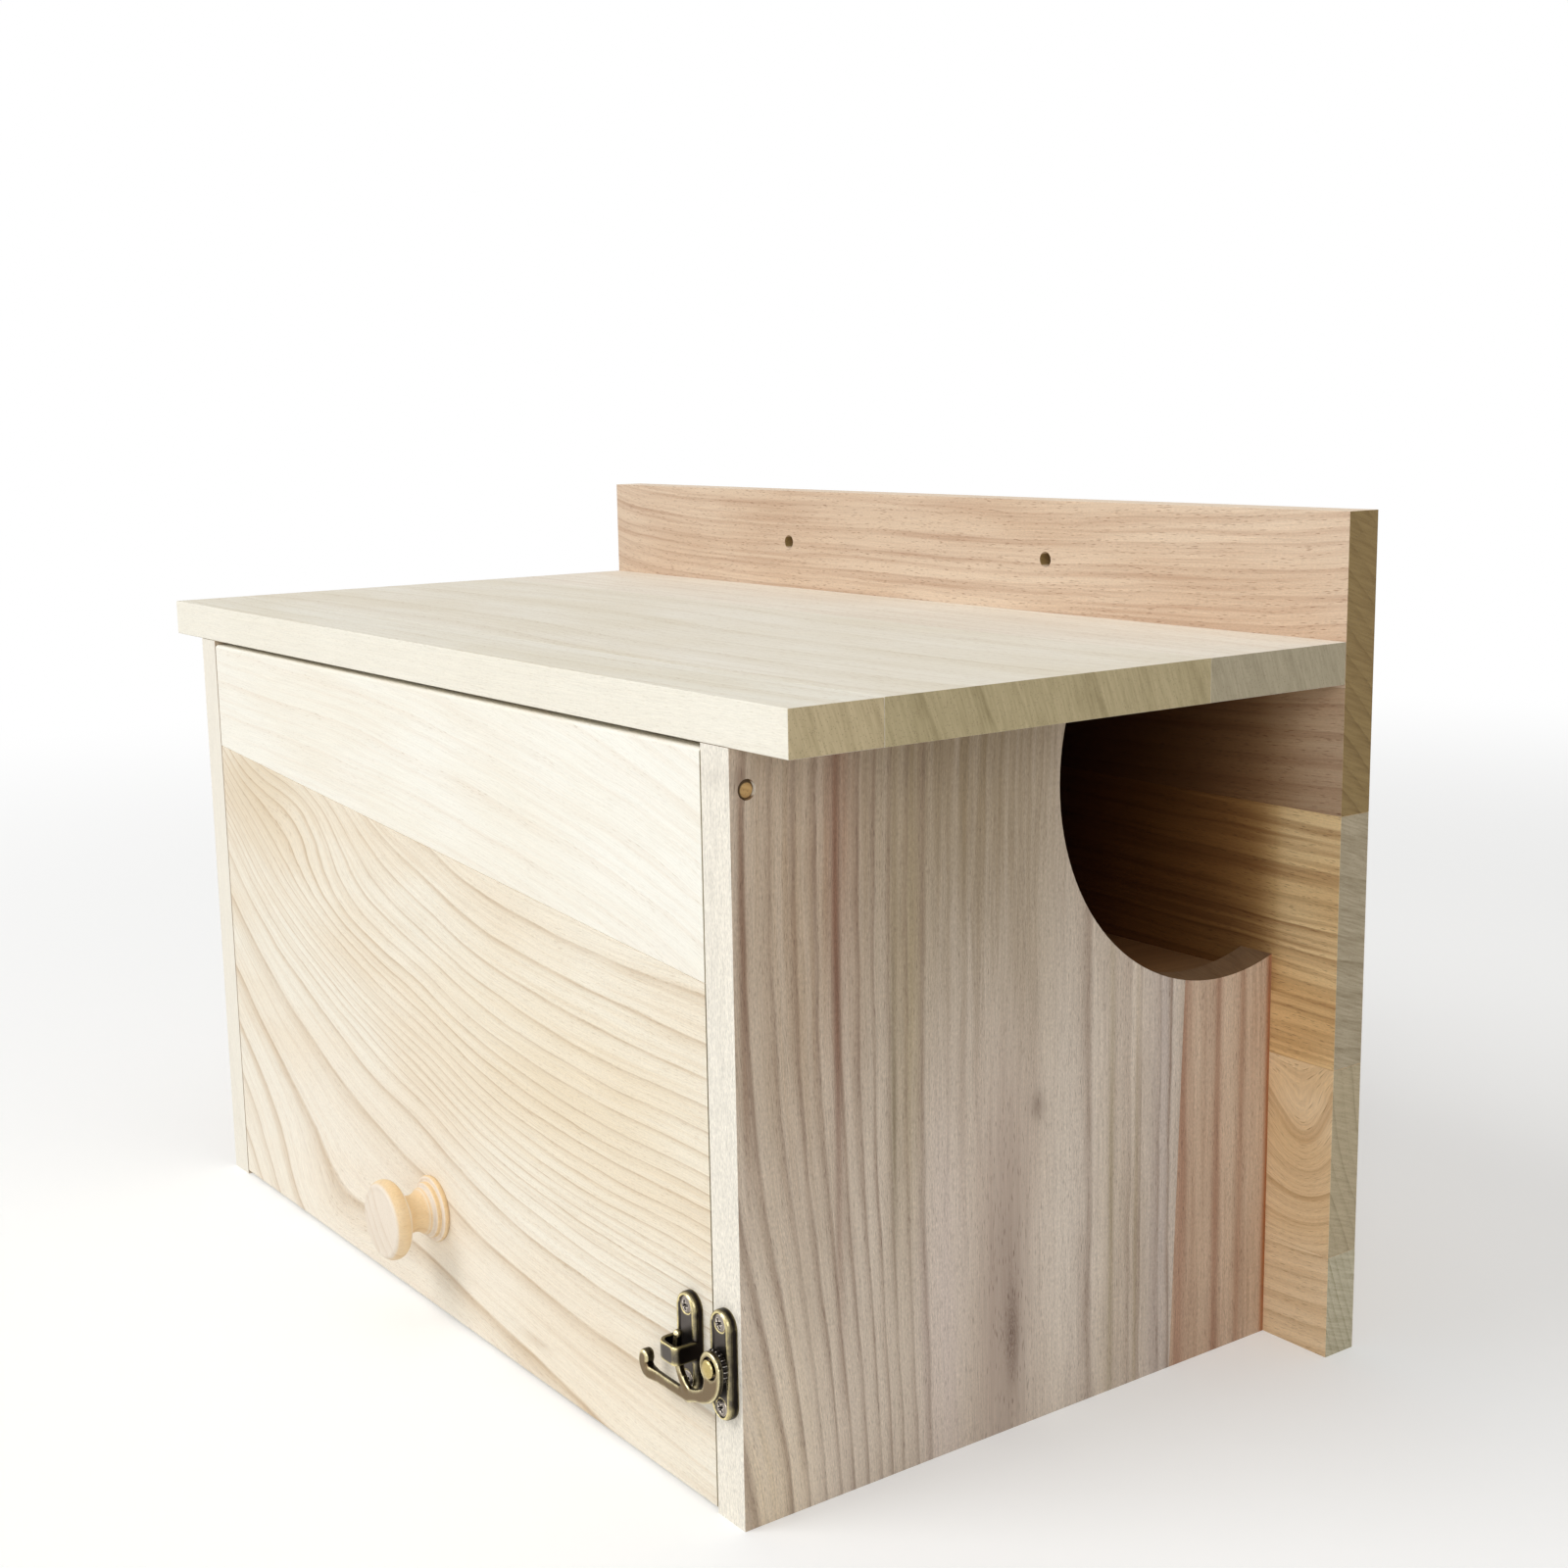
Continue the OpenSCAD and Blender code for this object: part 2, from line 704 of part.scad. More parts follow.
module catch_screws() {
    color("dimgray") for (v = catch_screw_vs)
        on_front(catch_x) translate([0, v, plate_t]) rotate([180, 0, 0])
            driven_screw(latch_screw_head_d, latch_screw_d, latch_screw_len);
}

module back_screws() {
    color("silver") for (p = back_screw_points)
        translate([p[0], -back_screw_sink, p[1]]) rotate([90, 0, 0])
            driven_screw(back_screw_head_d, back_screw_d, back_screw_len);
}

module roof_dowels() { color("peru") roof_dowel_set(); }
module floor_dowels() { color("peru") floor_dowel_set(); }
module ledge_dowels() { color("peru") ledge_dowel_set(); }

back_foot_stave();
back_lower_stave();
back_upper_stave();
back_top_stave();
roof_front_stave();
roof_middle_stave();
roof_rear_stave();
left_front_stave();
left_rear_stave();
right_front_stave();
right_rear_stave();
floor_board();
entrance_ledge();
door_upper_board();
door_lower_board();
left_hinge_dowel();
right_hinge_dowel();
door_knob();
knob_screw();
latch_plate();
latch_washer();
latch_rivet();
latch_hook();
latch_screws();
catch_plate();
catch_screws();
back_screws();
roof_dowels();
floor_dowels();
ledge_dowels();
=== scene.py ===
import json
import math
import bmesh
import bpy
import numpy as np
from mathutils import Matrix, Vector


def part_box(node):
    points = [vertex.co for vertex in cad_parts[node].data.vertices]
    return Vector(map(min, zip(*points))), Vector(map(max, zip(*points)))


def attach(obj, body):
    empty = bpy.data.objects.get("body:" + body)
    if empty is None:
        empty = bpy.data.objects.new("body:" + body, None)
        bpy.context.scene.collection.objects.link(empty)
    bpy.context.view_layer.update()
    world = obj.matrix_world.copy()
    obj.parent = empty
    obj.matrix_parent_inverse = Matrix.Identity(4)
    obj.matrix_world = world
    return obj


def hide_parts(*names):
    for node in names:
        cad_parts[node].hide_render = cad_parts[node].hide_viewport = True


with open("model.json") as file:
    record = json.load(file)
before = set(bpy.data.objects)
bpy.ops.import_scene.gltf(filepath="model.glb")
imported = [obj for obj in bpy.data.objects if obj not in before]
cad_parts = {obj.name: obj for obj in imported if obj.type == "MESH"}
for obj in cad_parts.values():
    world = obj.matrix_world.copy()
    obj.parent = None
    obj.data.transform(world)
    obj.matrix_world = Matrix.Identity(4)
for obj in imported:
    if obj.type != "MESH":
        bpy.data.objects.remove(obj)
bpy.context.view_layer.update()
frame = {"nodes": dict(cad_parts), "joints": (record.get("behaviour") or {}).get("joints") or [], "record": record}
mm = 0.001
print("frame loaded:", len(frame["nodes"]), "nodes")


def tone(red, green, blue):
    # Screen colour from 0 to 255 as a linear colour with alpha
    levels = [c / 255 for c in (red, green, blue)]
    return tuple(c / 12.92 if c <= 0.04045 else ((c + 0.055) / 1.055) ** 2.4 for c in levels) + (1.0,)


def given(thing, **choices):
    # Sets the attributes named, and hands the thing back
    for key, value in choices.items():
        setattr(thing, key, value)
    return thing


class nodeSketch:
    # Builds the nodes of a material, or of a given world, from short calls that each return an output
    def __init__(self, name, world=None):
        self.material = world or bpy.data.materials.new(name)
        self.material.use_nodes = True
        self.tree = self.material.node_tree
        self.shader = self.tree.nodes["Background" if world else "Principled BSDF"]

    def add(self, kind, **choices):
        return given(self.tree.nodes.new(kind), **choices)

    def plug(self, socket, value):
        if isinstance(value, bpy.types.NodeSocket):
            self.tree.links.new(value, socket)
        else:
            socket.default_value = value

    def plugAll(self, node, values):
        for socket, value in zip(node.inputs, values):
            self.plug(socket, value)
        return node.outputs[0]

    def fill(self, node, values):
        # Inputs by name
        for key, value in values.items():
            self.plug(node.inputs[key], value)
        return node.outputs[0]

    def calc(self, operation, *values):
        return self.plugAll(self.add("ShaderNodeMath", operation=operation), values)

    def plus(self, a, b):
        return self.calc("ADD", a, b)

    def minus(self, a, b):
        return self.calc("SUBTRACT", a, b)

    def fused(self, a, b, c):
        # a * b + c
        return self.calc("MULTIPLY_ADD", a, b, c)

    def times(self, product, *others):
        for other in others:
            product = self.calc("MULTIPLY", product, other)
        return product

    def swing(self, noise, reach, value):
        # value + reach * (noise - 0.5)
        return self.fused(self.minus(noise, 0.5), reach, value)

    def squares(self, a, b):
        # a^2 + b^2
        return self.fused(a, a, self.times(b, b))

    def vector(self, *values):
        return self.plugAll(self.add("ShaderNodeCombineXYZ"), values)

    def split(self, vector):
        node = self.add("ShaderNodeSeparateXYZ")
        self.plug(node.inputs[0], vector)
        return tuple(node.outputs)

    def place(self):
        # Object coordinates in millimetres, and the normal
        node = self.add("ShaderNodeTexCoord")
        scaled = self.add("ShaderNodeVectorMath", operation="SCALE")
        self.fill(scaled, {"Vector": node.outputs["Object"], "Scale": 1 / mm})
        return self.split(scaled.outputs[0]), self.split(node.outputs["Normal"])

    def noise(self, vector, detail=2.0):
        return self.fill(self.add("ShaderNodeTexNoise"), {"Vector": vector, "Scale": 1.0, "Detail": detail})

    def dots(self, vector, inner, outer, rarity):
        # 1 near scattered points, 0 beyond the outer radius; a share of them, the rarity, is left out
        node = self.add("ShaderNodeTexVoronoi")
        disc = self.span(self.fill(node, {"Vector": vector, "Scale": 1.0}), inner, outer, 1.0, 0.0)
        pick = self.split(node.outputs["Color"])[0]
        return self.times(disc, self.calc("GREATER_THAN", pick, rarity))

    def chance(self, value):
        # A random value that changes only where the input does
        return self.fill(self.add("ShaderNodeTexWhiteNoise", noise_dimensions="1D"), {"W": value})

    def span(self, value, low, high, start=0.0, end=1.0, soft=False):
        # Carries the range from low to high over to start to end, and stops there
        node = self.add("ShaderNodeMapRange", interpolation_type="SMOOTHSTEP" if soft else "LINEAR")
        return self.plugAll(node, (value, low, high, start, end))

    def curve(self, value, points):
        # Smooth curve through (value, result) points
        xs, ys = [p[0] for p in points], [p[1] for p in points]
        low, high = min(ys), max(ys)
        node = self.add("ShaderNodeFloatCurve")
        knots = node.mapping.curves[0].points
        spots = [((x - xs[0]) / (xs[-1] - xs[0]), (y - low) / max(high - low, 1e-6)) for x, y in points]
        knots[0].location, knots[-1].location = spots[0], spots[-1]
        for spot in spots[1:-1]:
            knots.new(*spot)
        node.mapping.update()
        level = self.fill(node, {"Value": self.span(value, xs[0], xs[-1])})
        return self.span(level, 0.0, 1.0, low, high)

    def mix(self, factor, first, second, mode="MIX"):
        # Blends two colours, each an output or a screen colour
        node = self.add("ShaderNodeMix", data_type="RGBA", blend_type=mode)
        self.plug(node.inputs["Factor"], factor)
        for socket, colour in ((node.inputs[6], first), (node.inputs[7], second)):
            self.plug(socket, tone(*colour) if isinstance(colour, tuple) else colour)
        return node.outputs[2]

    def bump(self, height, strength, distance):
        node = self.add("ShaderNodeBump")
        values = {"Strength": strength, "Distance": distance, "Height": height}
        self.fill(self.shader, {"Normal": self.fill(node, values)})


# Wood: values shared by every board, in millimetres where they are lengths
woodBase = {
    "grain": "xzy",  # axes along the grain, across it and through the board
    "outer": "low",  # which side of the board, on the last axis, is its shown face
    "rings": [(-200, -20), (300, 30)],  # place across the board against number of rings
    "sweep": [(-200, 0), (200, 0)],  # how far the rings shift along the grain
    "hills": [], "stainsAndShade": [],  # (along, across, radius along, radius across, shift or strength)
    "washes": [],  # (along, across, radius along, radius across, colour, strength)
    "lean": 0.4,  # ring shift for each mm through the board
    "wander": 2.2, "ripple": 0.5,  # slow and quick wander of the rings
    "sharp": 3.2, "drop": 0.93,  # how late a ring darkens, and where it ends
    "luckFrom": 0.35,  # strength of the faintest ring
    "core": 0.0, "coreSharp": 14.0,  # a thin darker line in each ring
    # Noises: scale along the grain and across it, detail, shift
    "slow": (0.008, 0.03, 2.0, 0.0), "quick": (0.035, 0.14, 2.0, 3.0), "patches": (0.010, 0.03, 2.0, 9.0),
    "uneven": (0.03, 0.2, 2.0, 7.0), "breaks": (0.05, 0.6, 2.0, 19.0), "streaks": (0.010, 0.5, 3.0, 11.0),
    "fibres": (0.06, 3.0, 3.0, 5.0), "specks": (0.9, 2.6, 2.0, 2.0),
    "poreRow": (9.0, 0.26, 2.6),  # wander of the rows of pores, their scale along and across
    "endDots": 1.9, "sawScale": (1.4, 0.5, 0.12),  # scales of the pores and the saw marks of an end
    "tones": ((240, 232, 212), (232, 218, 190), (196, 170, 132)),  # pale wood, warm wood, ring line
    "pore": (168, 140, 104),
    "contrast": 0.5, "streak": 0.2, "pores": 0.3, "fibre": 0.05, "speckle": 0.035,
    "edgePale": (248, 243, 230), "edgeMix": 0.0, "edgePores": 0.15,  # the board's long edges
    "dimmed": [],  # (place along X, brightness) of painted shade on the face inside the box, and beside it
    "dimFoot": 0.0, "dimTop": 300.0,  # heights between which the shade is painted
    "dimGreen": 1.34, "dimBlue": 1.8,  # how much faster than red the other colours go in the painted shade
    "end": ((176, 167, 138), (140, 130, 102)), "endPore": (96, 82, 58), "endPores": 0.35, "sawMarks": 0.5,
    "endRim": None,  # (across, through, radius) of the lit part of a sunken round end; beyond it the rim is painted shade
    "rimDark": (46, 28, 12), "rimFade": 0.45,
    "bumps": (-0.5, 0.25, 0.4),  # heights of dashes, ring lines and specks against the fibres'
    "bumpDeep": 0.12, "rough": (0.56, 0.72), "seed": 1.0}


def woodMaterial(name, changes, face=0.0):
    # Year rings are fractions of a count that grows across the board, bent by a sweep, by hills
    # round knots and by noise; fibres and pores are noise stretched along the bent grain
    s = {**woodBase, **changes}
    g = nodeSketch(name)
    place, facing = g.place()
    axes = ["xyz".index(letter) for letter in s["grain"]]
    along, across = place[axes[0]], place[axes[1]]
    deep = g.minus(place[axes[2]], face)
    offset = s["seed"] * 37.0
    pale, warm, dark = s["tones"]

    def grainNoise(kind, side):
        stretch, fine, detail, shift = s[kind]
        return g.noise(g.vector(g.fused(along, stretch, offset + shift), g.times(side, fine),
                                g.times(deep, fine)), detail)

    def mound(spot):
        # exp(-(a^2 + b^2)) for distances a and b from the spot in its own radii
        a = g.calc("DIVIDE", g.minus(along, spot[0]), spot[2])
        b = g.calc("DIVIDE", g.minus(across, spot[1]), spot[3])
        return g.calc("EXPONENT", g.times(g.squares(a, b), -1.0))

    bent = g.fused(deep, s["lean"], g.minus(across, g.curve(along, s["sweep"])))
    for hill in s["hills"]:
        bent = g.fused(mound(hill), -hill[4], bent)
    bent = g.swing(grainNoise("slow", across), 2 * s["wander"], bent)
    bent = g.swing(grainNoise("quick", across), 2 * s["ripple"], bent)
    count = g.curve(bent, s["rings"])
    ring = g.calc("FLOOR", count)
    part = g.minus(count, ring)
    luck = g.span(g.chance(g.plus(ring, offset)), 0, 1, s["luckFrom"], 1.0)
    fall = g.span(part, s["drop"], 1.0, 1.0, 0.0, True)
    uneven = g.span(grainNoise("uneven", bent), 0.3, 0.7, 0.5, 1.2)
    line = g.times(g.calc("POWER", part, s["sharp"]), fall, luck, uneven)

    streak, fibre, speck = (grainNoise(kind, bent) for kind in ("streaks", "fibres", "specks"))
    drift, stretch, fine = s["poreRow"]
    row = g.fused(streak, drift, g.fused(along, stretch, offset))
    dash = g.dots(g.vector(row, g.times(bent, fine), g.times(deep, fine)), 0.14, 0.34, 0.5)
    dashing = g.fused(line, 0.6, s["pores"])

    colour = g.mix(g.span(grainNoise("patches", across), 0.38, 0.62), pale, warm)
    colour = g.mix(g.times(g.span(streak, 0.45, 0.75), s["streak"]), colour, dark)
    for wash in s["washes"]:
        level = g.times(mound(wash), g.span(streak, 0.3, 0.7, wash[5] * 0.7, wash[5] * 1.15))
        colour = g.mix(level, colour, wash[4])
    colour = g.mix(g.times(line, s["contrast"]), colour, dark)
    breaks = g.span(grainNoise("breaks", bent), 0.35, 0.65, 0.35, 1.1)
    core = g.times(g.calc("POWER", part, s["coreSharp"]), fall, s["core"], breaks)
    colour = g.mix(g.calc("MINIMUM", core, 1.0), colour, s["pore"])
    edgeward = g.span(g.calc("ABSOLUTE", facing[axes[1]]), 0.6, 0.9, 0.0, s["edgeMix"], soft=True)
    colour = g.mix(edgeward, colour, s["edgePale"])
    # Dark spots: real stains, and painted shade where a board's list puts one
    for stainShade in s["stainsAndShade"]:
        spread = g.times(mound(stainShade), g.span(speck, 0.35, 0.6, stainShade[4] * 0.6, stainShade[4] * 1.3))
        colour = g.mix(spread, colour, s["pore"])
        dashing = g.plus(dashing, g.times(mound(stainShade), stainShade[4]))
    dashing = g.times(g.calc("MINIMUM", dashing, 0.9), g.span(edgeward, 0.0, 1.0, 1.0, s["edgePores"]))
    colour = g.mix(g.times(dash, dashing), colour, s["pore"])
    shade = g.times(g.span(fibre, 0.25, 0.75, 1 - s["fibre"], 1 + s["fibre"]),
                    g.span(speck, 0.25, 0.75, 1 - s["speckle"], 1 + s["speckle"]))
    colour = g.mix(1.0, colour, g.vector(shade, shade, shade), "MULTIPLY")
    if s["dimmed"]:
        # Painted shade: the unlit corner behind the entrance, on the shown face above the ledge, darker and redder
        # inwards; on the back board also the strip beside the side panel and under the roof
        dim = g.curve(place[0], s["dimmed"])
        shown = g.times(g.calc("LESS_THAN", g.calc("ABSOLUTE", deep), 1.0),
                        g.calc("LESS_THAN", place[2], s["dimTop"]),
                        g.calc("GREATER_THAN", place[2], s["dimFoot"]))
        tint = g.vector(dim, g.calc("POWER", dim, s["dimGreen"]), g.calc("POWER", dim, s["dimBlue"]))
        colour = g.mix(shown, colour, g.mix(1.0, colour, tint, "MULTIPLY"))

    # Sawn ends: the same rings, with round pores and saw marks
    dots = g.vector(g.times(across, s["endDots"]), g.times(deep, s["endDots"]), offset)
    dots = g.dots(dots, 0.18, 0.36, 0.6)
    wide, slant, thin = s["sawScale"]
    saw = g.noise(g.vector(g.fused(across, wide, g.times(deep, slant)), g.times(deep, thin), offset), 3.0)
    endShade = g.plus(g.times(line, 0.7), g.span(saw, 0.3, 0.7, 0.0, s["sawMarks"]))
    end = g.mix(endShade, *s["end"])
    end = g.mix(g.times(dots, s["endPores"]), end, s["endPore"])
    if s["endRim"]:
        # Painted shade at the rim of a sunken end: dark beyond a radius from a middle set a little to one side
        upMiddle, deepMiddle, radius = s["endRim"]
        far = g.calc("SQRT", g.squares(g.minus(across, upMiddle), g.minus(deep, deepMiddle)))
        end = g.mix(g.span(far, radius, radius + s["rimFade"], 0.0, 0.9, soft=True), end, s["rimDark"])
    endward = g.span(g.calc("ABSOLUTE", facing[axes[0]]), 0.55, 0.8, soft=True)
    g.fill(g.shader, {"Base Color": g.mix(endward, colour, end), "Specular IOR Level": 0.3,
                      "Roughness": g.span(fibre, 0.3, 0.7, *s["rough"])})
    dashUp, lineUp, speckUp = s["bumps"]
    height = g.fused(speck, speckUp, g.fused(dash, dashUp, g.fused(line, lineUp, fibre)))
    height = g.plus(g.times(height, g.minus(1.0, endward)), g.times(g.minus(saw, dots), endward))
    g.bump(height, 0.5, s["bumpDeep"] * mm)
    return g.material


# Metal: colours of recess (patina and painted shade), face and bright edge (worn brass and painted highlight);
# where wear and painted highlight begin and end; how far a face may turn from the front before it is a wall, which
# is darkened as painted shade, and the walls' share of the face colour and of the bright edge
metalBase = {"tones": ((24, 18, 15), (92, 86, 82), (240, 224, 166)), "rough": 0.34,
             "wearAndShading": (0.54, 0.8), "wall": 0.2, "wallAt": 0.45, "wallWear": 0.16, "wallFade": 0.25,
             "cloud": 0.3, "cloudWear": 0.16, "grit": 2.6, "gritWear": 0.06, "bare": (0.28, 0.5)}


def metalMaterial(name, changes):
    # From dark recesses (patina and painted shade) through bronze faces to bright edges (worn brass and painted
    # highlight); the walls stay dark, as painted shade
    s = {**metalBase, **changes}
    g = nodeSketch(name)
    place, facing = g.place()
    dark, mid, bright = s["tones"]
    cloud = g.noise(g.vector(*(g.times(p, s["cloud"]) for p in place)))
    grit = g.noise(g.vector(*(g.times(p, s["grit"]) for p in place)), 3.0)
    wearAndShading = g.add("ShaderNodeAttribute", attribute_name="wearAndShading").outputs["Fac"]
    loose = g.swing(grit, s["gritWear"], g.swing(cloud, s["cloudWear"], wearAndShading))
    front = g.span(g.times(facing[1], -1.0), s["wallAt"] - s["wallFade"], s["wallAt"] + s["wallFade"],
                   s["wall"], 1.0, soft=True)
    bare = g.times(g.span(loose, *s["bare"], soft=True), front)
    worn = g.times(g.span(loose, *s["wearAndShading"], soft=True), g.span(front, 0.0, 1.0, s["wallWear"], 1.0))
    rough = g.plus(g.span(worn, 0.0, 1.0, s["rough"], s["rough"] - 0.12),
                   g.span(grit, 0.3, 0.7, -0.05, 0.08))
    colour = g.mix(worn, g.mix(bare, dark, mid), bright)
    g.fill(g.shader, {"Base Color": colour, "Metallic": 1.0, "Roughness": rough})
    g.bump(g.plus(grit, cloud), 0.25, 0.05 * mm)
    return g.material
